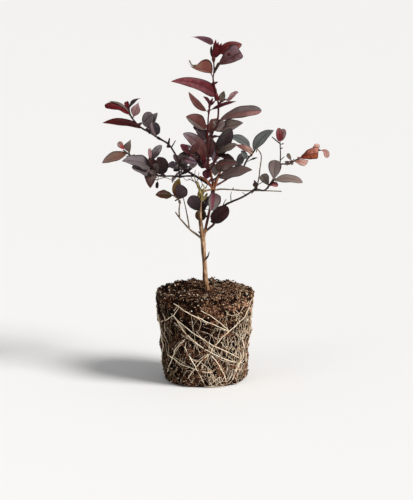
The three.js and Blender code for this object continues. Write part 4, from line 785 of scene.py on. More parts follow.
class Piece:
    """Points and faces gathered into one mesh object, with a look for each face."""

    def __init__(self, name):
        self.name = name
        self.points = []
        self.shades = []
        self.faces = []
        self.face_looks = []
        self.looks = []
        self.count = 0

    def add(self, points, faces, look, shade=None):
        """faces is a list of arrays, of quads or of triangles. look is one look, or a list that holds the
        looks of each array's faces."""
        for i, block in enumerate(faces):
            names = look[i] if isinstance(look, list) else [look] * len(block)
            self.looks += [name for name in dict.fromkeys(names) if name not in self.looks]
            places = {name: self.looks.index(name) for name in set(names)}
            self.face_looks.append(np.array([places[name] for name in names]))
            self.faces.append(block + self.count)
        self.points.append(points)
        self.shades.append(np.zeros(len(points)) if shade is None else shade)
        self.count += len(points)

    def build(self, slot, *nodes, crease=50):
        """Make the object, in the place of the nodes, which are hidden. The slot is not used. Edges over
        the crease stay sharp.
        """
        mesh = bpy.data.meshes.new(self.name)
        points = np.concatenate(self.points) * MM
        counts = np.concatenate([np.full(len(block), block.shape[1]) for block in self.faces])
        corners = np.concatenate([block.ravel() for block in self.faces])
        mesh.vertices.add(len(points))
        mesh.vertices.foreach_set("co", points.astype(np.float32).ravel())
        mesh.loops.add(len(corners))
        mesh.loops.foreach_set("vertex_index", corners.astype(np.int32))
        mesh.polygons.add(len(counts))
        mesh.polygons.foreach_set("loop_start", (np.cumsum(counts) - counts).astype(np.int32))
        mesh.polygons.foreach_set("material_index", np.concatenate(self.face_looks).astype(np.int32))
        mesh.update(calc_edges=True)
        mesh.validate()
        mesh.polygons.foreach_set("use_smooth", np.ones(len(counts), bool))
        mesh.set_sharp_from_angle(angle=math.radians(crease))
        shade = mesh.attributes.new("shade", "FLOAT", "POINT")
        shade.data.foreach_set("value", np.concatenate(self.shades).astype(np.float32))
        for name in self.looks:
            mesh.materials.append(look_named(name))
        piece = bpy.data.objects.new(self.name, mesh)
        bpy.context.scene.collection.objects.link(piece)
        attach(piece, "root")
        if nodes:
            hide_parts(*nodes)


def ring_faces(rings, sides):
    """Quads between the rings, and triangles from the end rings to the two points that follow them all."""
    ring = np.arange(sides)
    after = (ring + 1) % sides
    starts = np.arange(rings - 1)[:, None] * sides
    a, b = (starts + ring).ravel(), (starts + after).ravel()
    last = (rings - 1) * sides
    first_end = np.stack([np.full(sides, rings * sides), after, ring], axis=1)
    last_end = np.stack([np.full(sides, rings * sides + 1), last + ring, last + after], axis=1)
    return [np.stack([a, b, b + sides, a + sides], axis=1), np.concatenate([first_end, last_end])]


def rings_round(points, sizes, sides, relief):
    """Rings of points round a line of points, with the bark's relief, and the way out at each."""
    turns = np.arange(sides) / sides * FULL_TURN
    skin = []
    for point, size, (across, over) in zip(points, sizes, frames_along(points)):
        skin.append(point + size * (np.cos(turns)[:, None] * across + np.sin(turns)[:, None] * over))
    skin = np.array(skin)
    out = skin - points[:, None, :]
    out = out / np.linalg.norm(out, axis=2, keepdims=True)
    if relief:
        skin = skin + out * relief(skin, out)[..., None]
    return skin, out


def with_round_end(points, sizes, way, shares):
    """The points and sizes of a limb with a rounded end added, which reaches a way past the last point."""
    end, size = points[-1], sizes[-1]
    for share in shares:
        points = np.vstack([points, end + way * share])
        sizes = np.append(sizes, size * math.sqrt(1 - share * share))
    return points, sizes


def add_tube(piece, places, radii, look, step, sides=LIMB_SIDES, knots=(), relief=None, round_tip=True):
    """A tapering limb on the curve through the places. Knots are (place in runs, reach in runs, swell)."""
    points, t = curve_points(places, step)
    sizes = radii[0] + (radii[1] - radii[0]) * t
    for place, reach, swell in knots:
        apart = np.abs(t * (len(places) - 1) - place)
        sizes = sizes + swell * np.maximum(0, 1 - apart / (reach * 0.5)) ** 1.3
    if round_tip:
        way = unit(points[-1] - points[-2]) * sizes[-1]
        points, sizes = with_round_end(points, sizes, way, (0.5, 0.8, 0.95))
    skin, _ = rings_round(points, sizes, sides, relief)
    cap = points[-1] + unit(points[-1] - points[-2]) * sizes[-1] * 0.2
    piece.add(np.vstack([skin.reshape(-1, 3), points[0], cap]), ring_faces(len(points), sides), look)


# Looks

def colour_of(text):
    """A linear colour from six hexadecimal digits."""
    channels = [int(text[i:i + 2], 16) / 255 for i in (0, 2, 4)]
    return tuple(c / 12.92 if c <= 0.04045 else ((c + 0.055) / 1.055) ** 2.4 for c in channels) + (1.0,)


def mixed_text(a, b, share):
    """The colour that lies the given share of the way from a to b, as six hexadecimal digits."""
    mixed = [int(a[i:i + 2], 16) * (1 - share) + int(b[i:i + 2], 16) * share for i in (0, 2, 4)]
    return "".join(f"{round(channel):02x}" for channel in mixed)


def object_noise(tree, size, detail, stretch=(1, 1, 1)):
    """Noise whose features are about size millimetres wide, longer along an axis that is stretched."""
    place = tree.nodes.new("ShaderNodeTexCoord")
    scale = tree.nodes.new("ShaderNodeMapping")
    scale.inputs["Scale"].default_value = [1 / s for s in stretch]
    tree.links.new(place.outputs["Object"], scale.inputs["Vector"])
    texture = tree.nodes.new("ShaderNodeTexNoise")
    texture.inputs["Scale"].default_value = 1 / (size * MM)
    texture.inputs["Detail"].default_value = detail
    tree.links.new(scale.outputs["Vector"], texture.inputs["Vector"])
    return texture.outputs["Fac"]


def new_look(name, roughness, gloss, grain, stretch=(1, 1, 1)):
    """A material with a fine grain, and its node tree and shader."""
    look = bpy.data.materials.new(name)
    look.use_nodes = True
    tree = look.node_tree
    shader = tree.nodes["Principled BSDF"]
    shader.inputs["Roughness"].default_value = roughness
    shader.inputs["Specular IOR Level"].default_value = gloss
    size, detail, depth, strength = grain
    bump = tree.nodes.new("ShaderNodeBump")
    bump.inputs["Strength"].default_value = strength
    bump.inputs["Distance"].default_value = depth * MM
    tree.links.new(object_noise(tree, size, detail, stretch), bump.inputs["Height"])
    tree.links.new(bump.outputs["Normal"], shader.inputs["Normal"])
    return look, tree, shader


def colour_by_ramp(tree, shader, value, stops):
    """Colour the surface by a value, from stops of (value, colour)."""
    ramp = tree.nodes.new("ShaderNodeValToRGB")
    while len(ramp.color_ramp.elements) < len(stops):
        ramp.color_ramp.elements.new(0.5)
    for element, (place, colour) in zip(ramp.color_ramp.elements, stops):
        element.position = place
        element.color = colour_of(colour)
    tree.links.new(value, ramp.inputs["Fac"])
    tree.links.new(ramp.outputs["Color"], shader.inputs["Base Color"])


def plain_look(name, colour, surface):
    """One plain colour, as on a leaf or a crumb."""
    look, _, shader = new_look(name, *surface)
    shader.inputs["Base Color"].default_value = colour_of(colour)
    return look


def bark_look(name):
    """Young bark: streaks along the limb and fine grain."""
    colours, roughness, depth = BARKS[name]
    grain = (0.35, 5.0, depth, 0.7)
    look, tree, shader = new_look(name, roughness, BARK_GLOSS, grain, (1, 1, 3))
    streaks = object_noise(tree, 0.9, 5.0, (1, 1, 4))
    colour_by_ramp(tree, shader, streaks, list(zip(BARK_STOPS, colours)))
    return look


def soil_look(name):
    """Damp peat with brown and tan fibres, coloured by its shade attribute: near black in its pits and
    paler on its bumps as painted shade, paler on the right and round the rim as painted light.
    """
    look, tree, shader = new_look(name, *SOIL_SURFACE)
    height = tree.nodes.new("ShaderNodeAttribute")
    height.attribute_name = "shade"
    total = tree.nodes.new("ShaderNodeMath")
    total.operation = "MULTIPLY_ADD"
    tree.links.new(height.outputs["Fac"], total.inputs[0])
    total.inputs[1].default_value = SOIL_RELIEF_SHARE
    tree.links.new(object_noise(tree, 0.6, 4.0, (1, 1, 0.7)), total.inputs[2])
    colour_by_ramp(tree, shader, total.outputs[0], SOIL_STOPS)
    return look


made_looks = {}


def look_named(name):
    """The material of that name, made the first time that it is asked for. A leaf's is its plain colour."""
    if name not in made_looks:
        if name == "soil":
            made_looks[name] = soil_look(name)
        elif name in CRUMBS:
            made_looks[name] = plain_look(name, CRUMBS[name][0], CRUMB_SURFACE)
        elif name in BARKS:
            made_looks[name] = bark_look(name)
        else:
            made_looks[name] = plain_look("leaf_" + name, name, LEAF_SURFACE)
    return made_looks[name]


# Root ball

def ball_radius(height):
    return BALL_FOOT_RADIUS + (BALL_TOP_RADIUS - BALL_FOOT_RADIUS) * height / SOIL_TOP


def lump(turn, height):
    """The source's lumps on the ball."""
    return SOIL_LUMP * (np.sin(5 * turn + 0.31 * height) + 0.8 * np.sin(9 * turn - 0.53 * height + 2)
                        + 0.6 * np.sin(14 * turn + 0.9 * height + 4))


def soil_rows():
    """(reach, height) of each ring of the ball, from the middle of the underside to the trunk's seat."""
    foot, top = BALL_FOOT_RADIUS, BALL_TOP_RADIUS
    underside = [(0.4, 0.0)] + [(reach, 0.0) for reach in np.linspace(3, foot - 1.2, 10)]
    foot_edge = [(foot - 0.7, 0.25), (foot - 0.2, 0.9)]
    heights = np.linspace(SIDE_START, SOIL_TOP - BALL_RIM, BALL_SIDE_ROWS)
    side = [(ball_radius(height), height) for height in heights]
    top_edge = [(top - 0.1, SOIL_TOP - 0.9), (top - 0.3, SOIL_TOP - 0.5)]
    reaches = (0.3, SEAT_RADIUS, top * 0.36, top * 0.62, top - 3, top - 0.5)
    rises = (SEAT_RISE, SEAT_RISE, 0.5, 0.3, 0.1, -0.3)
    upper = [(reach, SOIL_TOP + float(np.interp(reach, reaches, rises)))
             for reach in np.linspace(top - 0.55, 0.5, BALL_TOP_ROWS)]
    return np.array(underside + foot_edge + side + top_edge + upper)


def top_rise(places):
    """How far the lumps and clods on top of the ball stand up at these places."""
    rise = 0.5 * rough_noise(places * np.array((1, 1, 0)), 4.0, 2, seed=61)
    for x, y, size, height in CLODS:
        apart = (places[..., 0] - x) ** 2 + (places[..., 1] - y) ** 2
        rise = rise + height * np.exp(-apart / size ** 2)
    return rise


def soil_relief(places):
    """How far the soil stands out: lumps, coarse and fine grains, and hollows here and there."""
    relief = 0.6 * rough_noise(places, 3.4, 3, seed=21)
    relief += 0.95 * (0.62 - grain_noise(places, 1.7, seed=31))
    relief += 0.4 * (0.6 - grain_noise(places, 0.8, seed=41))
    hollows = smooth_noise(places, 5.5, seed=51)
    return np.where(hollows > 0.35, relief - 0.9 * (hollows - 0.35), relief)


def build_soil():
    """The ball. Its shade for the look is its relief, which paints pits darker and bumps paler as painted
    shade, made paler on the right, where the sun falls, and round the rim, against the shade under it, as
    painted light.
    """
    rows = soil_rows()
    turn, reach = np.meshgrid(np.arange(BALL_COLUMNS) / BALL_COLUMNS * FULL_TURN - math.pi, rows[:, 0])
    height = np.repeat(rows[:, 1:], BALL_COLUMNS, axis=1)
    base = round_points(reach, turn, height)
    relief = soil_relief(base)
    over_rim = np.clip((height - SOIL_TOP + BALL_RIM) / BALL_RIM, 0, 1)
    outward = (1 - RIM_CALM * over_rim) * relief * SIDE_RELIEF + (1 - over_rim) * lump(turn, height)
    upward = over_rim * (relief * TOP_RELIEF + top_rise(base))
    upward = np.where(reach < SEAT_RADIUS, upward * SEAT_RELIEF, upward)
    reach = reach + outward * np.clip(height / FOOT_BAND, 0, 1)
    height = np.maximum(height + upward, 0.0)
    points = round_points(reach, turn, height)
    # Painted light: paler towards the right, where the sun falls, and round the rim, against the shade
    # under it.
    painted_light = PAINTED_LIGHT_SIDE * points[..., 0] / BALL_TOP_RADIUS
    by_rim = np.clip(1 - np.abs(height - SOIL_TOP + RIM_BAND) / RIM_BAND, 0, 1)
    shade = relief + painted_light + RIM_PAINTED_LIGHT * (by_rim * (reach > BALL_TOP_RADIUS - 4))
    ends = [(0, 0, 0), (0, 0, SOIL_TOP + SEAT_RISE)]
    piece = Piece("soil")
    piece.add(np.vstack([points.reshape(-1, 3), ends]), ring_faces(len(rows), BALL_COLUMNS), "soil",
              np.append(shade, (0.0, 0.0)))
    piece.build("soil", "root_ball", crease=180)


def on_ball(degrees, height, lift):
    """A point on the ball's side, lifted off the soil. Degrees run to the right from the front."""
    turn = math.radians(degrees - 90)
    out = ball_radius(height) + float(lump(turn, height)) + lift
    return np.array((out * math.cos(turn), out * math.sin(turn), height))


def icosahedron():
    long = (1 + math.sqrt(5)) / 2
    points = [(-1, long, 0), (1, long, 0), (-1, -long, 0), (1, -long, 0), (0, -1, long), (0, 1, long),
              (0, -1, -long), (0, 1, -long), (long, 0, -1), (long, 0, 1), (-long, 0, -1), (-long, 0, 1)]
    faces = [(0, 11, 5), (0, 5, 1), (0, 1, 7), (0, 7, 10), (0, 10, 11), (1, 5, 9), (5, 11, 4), (11, 10, 2),
             (10, 7, 6), (7, 1, 8), (3, 9, 4), (3, 4, 2), (3, 2, 6), (3, 6, 8), (3, 8, 9), (4, 9, 5),
             (2, 4, 11), (6, 2, 10), (8, 6, 7), (9, 8, 1)]
    return np.array(points, float) / math.hypot(1, long), np.array(faces)


def place_on_soil(rng):
    """A random place on the ball's side or top, with the way out of the soil there."""
    if rng.random() < TOP_SHARE:
        reach = BALL_TOP_RADIUS * math.sqrt(rng.uniform(0.03, 0.98))
        turn = rng.uniform(-math.pi, math.pi)
        across, back = math.cos(turn), math.sin(turn)
        place = np.array((reach * across, reach * back, SOIL_TOP))
        place[2] += 0.35 - 0.5 * max(0.0, reach - BALL_TOP_RADIUS + 2) / 2 + float(top_rise(place[None])[0])
        return place, unit(np.array((0.25 * across, 0.25 * back, 1.0)))
    degrees = rng.uniform(-180, 180)
    height = rng.uniform(1.0, SOIL_TOP - 0.4)
    if rng.random() < RIM_SHARE:
        height = rng.uniform(SOIL_TOP - 3.6, SOIL_TOP - 0.4)
    place = on_ball(degrees, height, 0.0)
    return place, unit(np.array((place[0], place[1], 0.0)))


def build_crumbs():
    """Loose crumbs of peat, and a few white grains."""
    rng = np.random.default_rng(CRUMB_SEED)
    shape, faces = icosahedron()
    names = list(CRUMBS)
    shares = np.array([share for _, share, _ in CRUMBS.values()])
    light_side_bias = np.array([more for _, _, more in CRUMBS.values()])
    piece = Piece("soil_crumbs")
    for _ in range(CRUMB_COUNT):
        place, out = place_on_soil(rng)
        # Painted light: pale crumbs are more common on the lit right side, dark ones on the shaded left.
        here = shares * np.exp(PAINTED_LIGHT_CRUMBS * place[0] / BALL_TOP_RADIUS * light_side_bias)
        name = names[int(rng.choice(len(names), p=here / here.sum()))]
        size = rng.uniform(0.22, 0.58) * (0.8 if name == "crumb_white" else 1.0)
        stretch = rng.uniform(0.55, 1.15, 3)
        spin, _ = np.linalg.qr(rng.normal(size=(3, 3)))
        if np.linalg.det(spin) < 0:
            spin[:, 0] *= -1
        jitter = rng.uniform(0.72, 1.2, (12, 1))
        points = (shape * jitter * stretch) @ spin.T * size + place + out * size * rng.uniform(-0.1, 0.55)
        points[:, 2] = np.maximum(points[:, 2], 0.02)
        piece.add(points, [faces], name)
    piece.build("soil", crease=28)


def build_fibres():
    """Short fibres of peat that stand off the soil."""
    rng = np.random.default_rng(FIBRE_SEED)
    piece = Piece("soil_fibres")
    for _ in range(FIBRE_COUNT):
        place, out = place_on_soil(rng)
        along = square_to(rng.normal(size=3), out)
        bend = np.cross(out, along)
        length = rng.uniform(0.9, 3.2)
        rise = rng.uniform(0.05, 0.5)
        way = [place + out * (0.1 + rise * 4 * s * (1 - s)) + along * length * (s - 0.5)
               + bend * length * 0.25 * math.sin(s * 3 + rng.uniform(0, 1)) for s in (0, 0.33, 0.66, 1)]
        way = [np.maximum(point, (-99, -99, 0.1)) for point in way]
        radius = rng.uniform(0.06, 0.14)
        look = FIBRE_LOOKS[int(rng.integers(4))]
        add_tube(piece, way, (radius, radius * 0.5), look, length / 4, 4, round_tip=False)
    piece.build("soil")


def back_roots():
    """The source's roots behind the ball."""
    draw = draws_from(BACK_ROOT_SEED)
    roots = []
    for i in range(BACK_ROOTS):
        start = 95 + i / BACK_ROOTS * 170
        high = 24 + draw() * 18
        lean = (draw() - 0.5) * 70
        fall = 12 + draw() * (high - 15)
        roots.append([(start, high), (start + lean * 0.5 + (draw() - 0.5) * 16, high - fall * 0.55),
                      (start + lean, high - fall)])
    return roots


def edge_root(rng, from_degrees, to_degrees):
    degrees = rng.uniform(from_degrees, to_degrees)
    high = rng.uniform(20, 40)
    lean = rng.choice((-1, 1)) * rng.uniform(3, 16)
    fall = rng.uniform(8, 20)
    return [(degrees, high), (degrees + lean * 0.5, high - fall * 0.5), (degrees + lean, high - fall)]


def scattered_root(rng):
    """A root anywhere round the ball, and low down on the front, where the rest are placed."""
    degrees = rng.uniform(-180, 180)
    high = rng.uniform(5, 12) if abs(degrees) < 75 else rng.uniform(6, SOIL_TOP - 2)
    lean = rng.normal(0, 20)
    low = max(high - rng.uniform(3, 24), 1.0)
    middle = (degrees + lean * 0.5 + rng.normal(0, 6), (high + low) / 2 + rng.normal(0, 2))
    return [(degrees, high), middle, (degrees + lean, low)]


def web_root(rng):
    """One of the thinnest roots, anywhere round the ball."""
    degrees = rng.uniform(-180, 180)
    high = rng.uniform(10, 41)
    lean = rng.choice((-1, 1)) * rng.uniform(4, 30)
    low = max(high - rng.uniform(5, 18), 1.0)
    middle = (degrees + lean * 0.5 + rng.normal(0, 4), (high + low) / 2)
    return [(degrees, high), middle, (degrees + lean, low)]


def root_route(root, rng, count, wander, lift):
    """A root's way over the ball, through its middle, with some wander."""
    start, middle, end = np.array(root, float)
    bend = 2 * middle - (start + end) / 2
    way = []
    for i in range(count):
        s = i / (count - 1)
        degrees, height = (1 - s) ** 2 * start + 2 * s * (1 - s) * bend + s * s * end
        if 0 < i < count - 1:
            degrees += rng.uniform(-1, 1) * wander * 2.4
            height += rng.uniform(-1, 1) * wander
        height = min(max(height, 0.6), SOIL_TOP - 0.2)
        way.append(on_ball(degrees, height, lift + 0.12 * math.sin(i * 2.1)))
    return way


def root_relief(skin, _):
    return 0.06 * rough_noise(skin, 0.9, 2, seed=61)


def add_fine_root(piece, root, rng, kind):
    """A fine root of one kind. Those that start on the shaded left take the darker root look as painted
    shade, apart from the placed ones.
    """
    (thin, thick), tip_share, count, wander, lift, sides, step = ROOT_KINDS[kind]
    radius = rng.uniform(thin, thick)
    look = "dull_root" if kind != "placed" and root[0][0] < ROOT_SHADE_SIDE else "fine_root"
    way = root_route(root, rng, count, wander, lift)
    add_tube(piece, way, (radius, radius * tip_share), look, step, sides)


def build_roots():
    rng = np.random.default_rng(ROOT_SEED)
    main = Piece("roots")
    for root in FRONT_ROOTS + back_roots():
        radii = (rng.uniform(*MAIN_ROOT_RADIUS), MAIN_ROOT_RADIUS[0])
        add_tube(main, root_route(root, rng, 11, 0.2, 0.42), radii, "root", 0.4, 10, relief=root_relief)
    main.build("pale_bark")
    fine = Piece("fine_roots")
    for root in FINE_ROOTS:
        add_fine_root(fine, root, rng, "placed")
    for from_degrees, to_degrees, count in EDGE_ROOTS:
        for _ in range(count):
            add_fine_root(fine, edge_root(rng, from_degrees, to_degrees), rng, "edge")
    for _ in range(SCATTERED_ROOTS):
        add_fine_root(fine, scattered_root(rng), rng, "scattered")
    for _ in range(WEB_ROOTS):
        add_fine_root(fine, web_root(rng), rng, "web")
    fine.build("pale_bark")


# Wood

def limb_relief(depth, seed):
    """Fine ridges along a young limb."""
    def relief(skin, _):
        ridges = smooth_noise(skin * np.array((1, 1, 0.35)), 0.45, seed)
        return depth * (0.7 * ridges + 0.5 * smooth_noise(skin, 1.6, seed + 5))
    return relief


def trunk_relief(skin, out):
    """Shallow cracks along the pale stem, knobs round the cut stub at its top, and a flare at its foot."""
    height = skin[..., 2] - SOIL_TOP
    ridges = 1 - np.abs(smooth_noise(skin * np.array((1, 1, 0.22)), 0.55, seed=3))
    swell = smooth_noise(skin * np.array((1, 1, 0.5)), 2.6, seed=5)
    stub = np.clip((height - STUB_FOOT) / 2, 0, 1)
    knobs = 0.55 * (0.6 - grain_noise(skin, 0.95, seed=9)) + 0.3 * rough_noise(skin, 0.8, 2, seed=15)
    foot = np.clip((3.4 - height) / 2.4, 0, 1)
    flare = foot ** 2 * 0.1 * np.sin(3 * np.arctan2(out[..., 1], out[..., 0]) + 1.2)
    return 0.1 * ridges + 0.1 * swell + knobs * stub + flare


def build_trunk():
    """The pale stem from under the soil to its cut stub, with two spurs. Its left side, away from the sun,
    takes the darker brown bark in streaks: painted shade.
    """
    points, t = curve_points(on_plant(TRUNK), TRUNK_STEP)
    radii = [min(row[3], FOOT_RADIUS) for row in TRUNK]
    sizes = np.interp(t * (len(TRUNK) - 1), np.arange(len(TRUNK)), radii) - BARK_PROUD
    points = np.vstack([points[0] - UP * 1.3 + np.array((0.15, 0, 0)), points[0] - UP * 0.6, points])
    sizes = np.concatenate([[sizes[0] * 1.08, sizes[0] * 1.04], sizes])
    points, sizes = with_round_end(points, sizes, UP * 0.9, (0.3, 0.6, 0.8, 0.92))
    skin, out = rings_round(points, sizes, TRUNK_SIDES, trunk_relief)
    flat = np.vstack([skin.reshape(-1, 3), points[0], points[-1] + UP * 0.1])
    sides, ends = ring_faces(len(points), TRUNK_SIDES)
    corners = flat[sides[:, 0]]
    # Painted shade: faces that look left, away from the sun, take the darker brown bark, with a streaky
    # edge.
    streaks = rough_noise(corners * np.array((1, 1, 0.14)), 1.1, 2, seed=57)
    brown = out.reshape(-1, 3)[sides[:, 0], 0] + 0.45 * streaks < TRUNK_SHADE_SIDE
    on_stub = corners[:, 2] - SOIL_TOP > STUB_FOOT
    looks = np.where(on_stub, "stub_bark", np.where(brown, "brown_bark", "pale_bark")).tolist()
    piece = Piece("trunk_bark")
    piece.add(flat, [sides, ends], [looks, ["stub_bark"] * len(ends)])
    relief = limb_relief(STEM_RELIEF, SPUR_SEED)
    for route, radii in TRUNK_SPURS:
        add_tube(piece, on_plant(route), radii, "dark_bark", LIMB_STEP, relief=relief)
    piece.build("pale_bark", "trunk")


def build_limbs():
    """The boughs and bare twigs. Those called bare look dead."""
    for order, (name, (_, bark, radii, route, knots)) in enumerate(LIMBS.items()):
        piece = Piece(name + "_bark")
        look = "dead_bark" if name.startswith("bare") else bark
        relief = limb_relief(LIMB_RELIEF, LIMB_SEED + order)
        add_tube(piece, on_plant(route), radii, look, LIMB_STEP, knots=knots, relief=relief)
        piece.build(bark, name)


def build_fine_twigs():
    """Bare stubs, thorns and dead twigs finer than the source's, in one piece."""
    piece = Piece("fine_twigs")
    for order, (bark, radii, route) in enumerate(FINE_TWIGS):
        relief = limb_relief(radii[0] * FINE_TWIG_RELIEF, FINE_TWIG_SEED + order)
        add_tube(piece, on_plant(route), radii, bark, STEM_STEP, FINE_TWIG_SIDES, relief=relief)
    piece.build("dead_bark")


# Leaves

def leaf_outline(u, name):
    """The share of its full width that a blade of the named outline has at u of its length."""
    base, tip = OUTLINES[name]
    widest = base / (base + tip)
    return (u / widest) ** base * ((1 - u) / (1 - widest)) ** tip


def leaf_colours(tint, change):
    """The colours of faces on top, at the margin and underneath, from each face's share of the change."""
    inner, outer, _ = TINTS[tint]
    ladder = [mixed_text(inner, outer, i / (COLOUR_STEPS - 1)) for i in range(COLOUR_STEPS)]
    margins = [mixed_text(ladder[i], MARGIN_AND_EDGE_SHADE_COLOUR, 0.5) for i in (1, -2)]
    unders = [mixed_text(ladder[i], UNDER_COLOUR, 0.35) for i in (0, 2, -1)]
    return [np.array(colours, dtype=object)[(change * len(colours)).astype(int)]
            for colours in (ladder, margins, unders)]


def leaf_frame(row):
    """The ways along the leaf, out of its top, to its side, and up its arch."""
    along = unit(row["reach"])
    angle = math.radians(row["turn"])
    face = square_to(TO_EYE * math.cos(angle) + UP * math.sin(angle), along)
    return along, face, np.cross(along, face), square_to(UP, along)


def midrib(foot, row, t):
    """Points at the shares t of the leaf's reach, with its arch, its sideways bend and its hook."""
    _, _, side, lift = leaf_frame(row)
    swing = 4 * t * (1 - t)
    sway = row["bend"] * swing + row["hook"] * HOOK_SWING * swing * (1 - 2 * t)
    arched = foot + t[..., None] * row["reach"] + (row["arch"] * swing)[..., None] * lift
    return arched + sway[..., None] * side


def blade_grid(length):
    """How far along the blade its points are, and how far across it, from -1 to 1."""
    large = length > SMALL_LEAF
    rows = LEAF_ROWS if large else SMALL_ROWS
    half = np.array(LEAF_COLUMNS if large else SMALL_COLUMNS)
    along = 0.5 - 0.5 * np.cos(math.pi * np.linspace(0, 1, rows + 2)[1:-1] ** 0.92)
    return np.meshgrid(along, np.concatenate([-half[:0:-1], half]), indexing="ij")


def blade_rise(row, length, half, u, v, rng):
    """How far the blade's points stand off their flat place, and how far the tip rolls back."""
    across = np.abs(v)
    phase = rng.uniform(0, FULL_TURN)
    waves = rng.uniform(1.6, 2.6)
    edge_wave = EDGE_WAVE * half * np.sin(FULL_TURN * (u * waves) + phase + (v > 0) * 2.1) * across ** 2
    veins = max(4, round(length / VEIN_GAP))
    swell = np.cos(FULL_TURN * (u * veins - VEIN_SLANT * across))
    quilt = VEIN_SWELL * row["width"] / 2 * swell * across ** 0.5 * (1 - across) * 2
    fold = LEAF_FOLD * half * across ** 1.25
    droop = -LEAF_DROOP * half * across ** 3
    groove = -RIB_GROOVE * np.exp(-(v / GROOVE_WIDTH) ** 2) * min(1.0, row["width"] / 5)
    roll = (row["curl"] + rng.uniform(-0.15, 0.25)) * length * CURL_STRENGTH / CURL_SPAN
    twist = rng.uniform(-0.25, 0.25) * u
    rise = fold + edge_wave + quilt + droop + groove + twist * half * v
    return rise - roll * np.clip(u - CURL_START, 0, 1) ** 2, roll


def sheet_faces(grid, tip, base, flip):
    """Quads over a grid of points, and triangles from its last row to the tip and its first to the base."""
    a, b, c, d = [part.ravel() for part in (grid[:-1, :-1], grid[:-1, 1:], grid[1:, 1:], grid[1:, :-1])]
    quads = np.stack((a, d, c, b) if flip else (a, b, c, d), axis=1)
    ends = []
    for line, point, turned_over in ((grid[-1], tip, flip), (grid[0], base, not flip)):
        pair = (line[1:], line[:-1]) if turned_over else (line[:-1], line[1:])
        ends.append(np.stack([*pair, np.full(len(line) - 1, point)], axis=1))
    return quads, np.concatenate(ends)


def face_colours(row, length, u, v, seed, rng):
    """The colours of the faces on top and underneath, with blotches, a margin and the midrib's band."""
    u = (u[:-1, :-1] + u[1:, 1:]) / 2
    v = (v[:-1, :-1] + v[1:, 1:]) / 2
    aside = v * row["width"] / 2 + 40 * rng.random()
    places = np.stack([u * length, aside, np.full(u.shape, seed)], axis=2)
    blotch = BLOTCH_SHARE * rough_noise(places, BLOTCH_SIZE, 2, seed=91)
    change = np.clip(u * 1.15 - 0.12 + blotch + 0.1 * (np.abs(v) - 0.5), 0, 0.999)
    halves = [leaf_colours(tint, change) for tint in row["tints"]]
    above, edge, beneath = [np.where(v > 0, first, second) for first, second in zip(*halves)]
    names = np.where(np.abs(v) > MARGIN_SHARE, edge, above)
    names = np.where(np.abs(v) < row["band"] + 0.04 * (1 - u), TINTS[row["tints"][0]][2], names)
    return list(names.ravel()), list(beneath.ravel())


def add_leaf(piece, foot, row, seed):
    """A blade with a folded midrib, swellings between its side veins and a thin edge, and its stalk."""
    rng = np.random.default_rng(seed)
    length = float(np.linalg.norm(row["reach"]))
    stalk = row["stalk"]
    along, face, _, _ = leaf_frame(row)
    u, v = blade_grid(length)
    half = row["width"] / 2 * leaf_outline(u, row["outline"]) * np.where(v > 0, *row["halves"])
    middle = midrib(foot, row, stalk + (1 - stalk) * u)
    sideways = np.array([-np.cross(face, unit(run)) for run in np.gradient(middle[:, 0], axis=0)])
    rise, roll = blade_rise(row, length, half, u, v, rng)
    flat = middle + (half * v)[..., None] * sideways[:, None] + rise[..., None] * face
    thick = LEAF_THICKNESS / 2 * (1 - 0.85 * np.abs(v) ** 3) * np.clip(1.25 - u, 0.35, 1)
    ridge = RIB_RIDGE * np.exp(-(v / RIDGE_WIDTH) ** 2) * (1 - u)
    top = flat + thick[..., None] * face
    under = flat - thick[..., None] * face - ridge[..., None] * face
    edges = [0, -1]
    top[:, edges] = flat[:, edges]
    index = np.arange(u.size).reshape(u.shape)
    below = index + index.size
    below[:, edges] = index[:, edges]
    tip = foot + row["reach"] - roll * (1 - CURL_START) ** 2 * face
    base = midrib(foot, row, np.array(stalk))
    points = np.vstack([top.reshape(-1, 3), under.reshape(-1, 3), tip, base])
    upper, upper_ends = sheet_faces(index, len(points) - 2, len(points) - 1, False)
    lower, lower_ends = sheet_faces(below, len(points) - 2, len(points) - 1, True)
    above, beneath = face_colours(row, length, u, v, seed, rng)
    # The ends take the dark margin colour, partly painted edge shade.
    margin = [MARGIN_AND_EDGE_SHADE_COLOUR] * len(upper_ends)
    piece.add(points, [upper, lower, upper_ends, lower_ends], [above, beneath, margin, margin])
    way = [foot - 0.2 * along, midrib(foot, row, np.array(stalk * 0.5)), base + along * 0.03 * length]
    radius = min(STALK_RADIUS, 0.08 + row["width"] * 0.04)
    add_tube(piece, way, (radius * 1.1, radius * 0.75), TINTS[row["tints"][0]][2], STEM_STEP, 8)


def clear_of_limbs(foot, reach, width, carrier):
    """Whether a grown leaf keeps off the limbs, which it may come nearer to on the one that carries it."""
    for name, (_, _, radii, route, _) in LIMBS.items():
        nearest = radii[0] + (SMALLEST_GAP if name == carrier else SMALLEST_GAP + width / 3)
        line = np.array([curve_point(on_plant(route), i / 20) for i in range(21)])
        for share in (0.35, 0.65, 1):
            if np.any(np.linalg.norm(foot + reach * share - line, axis=1) < nearest):
                return False
    return True


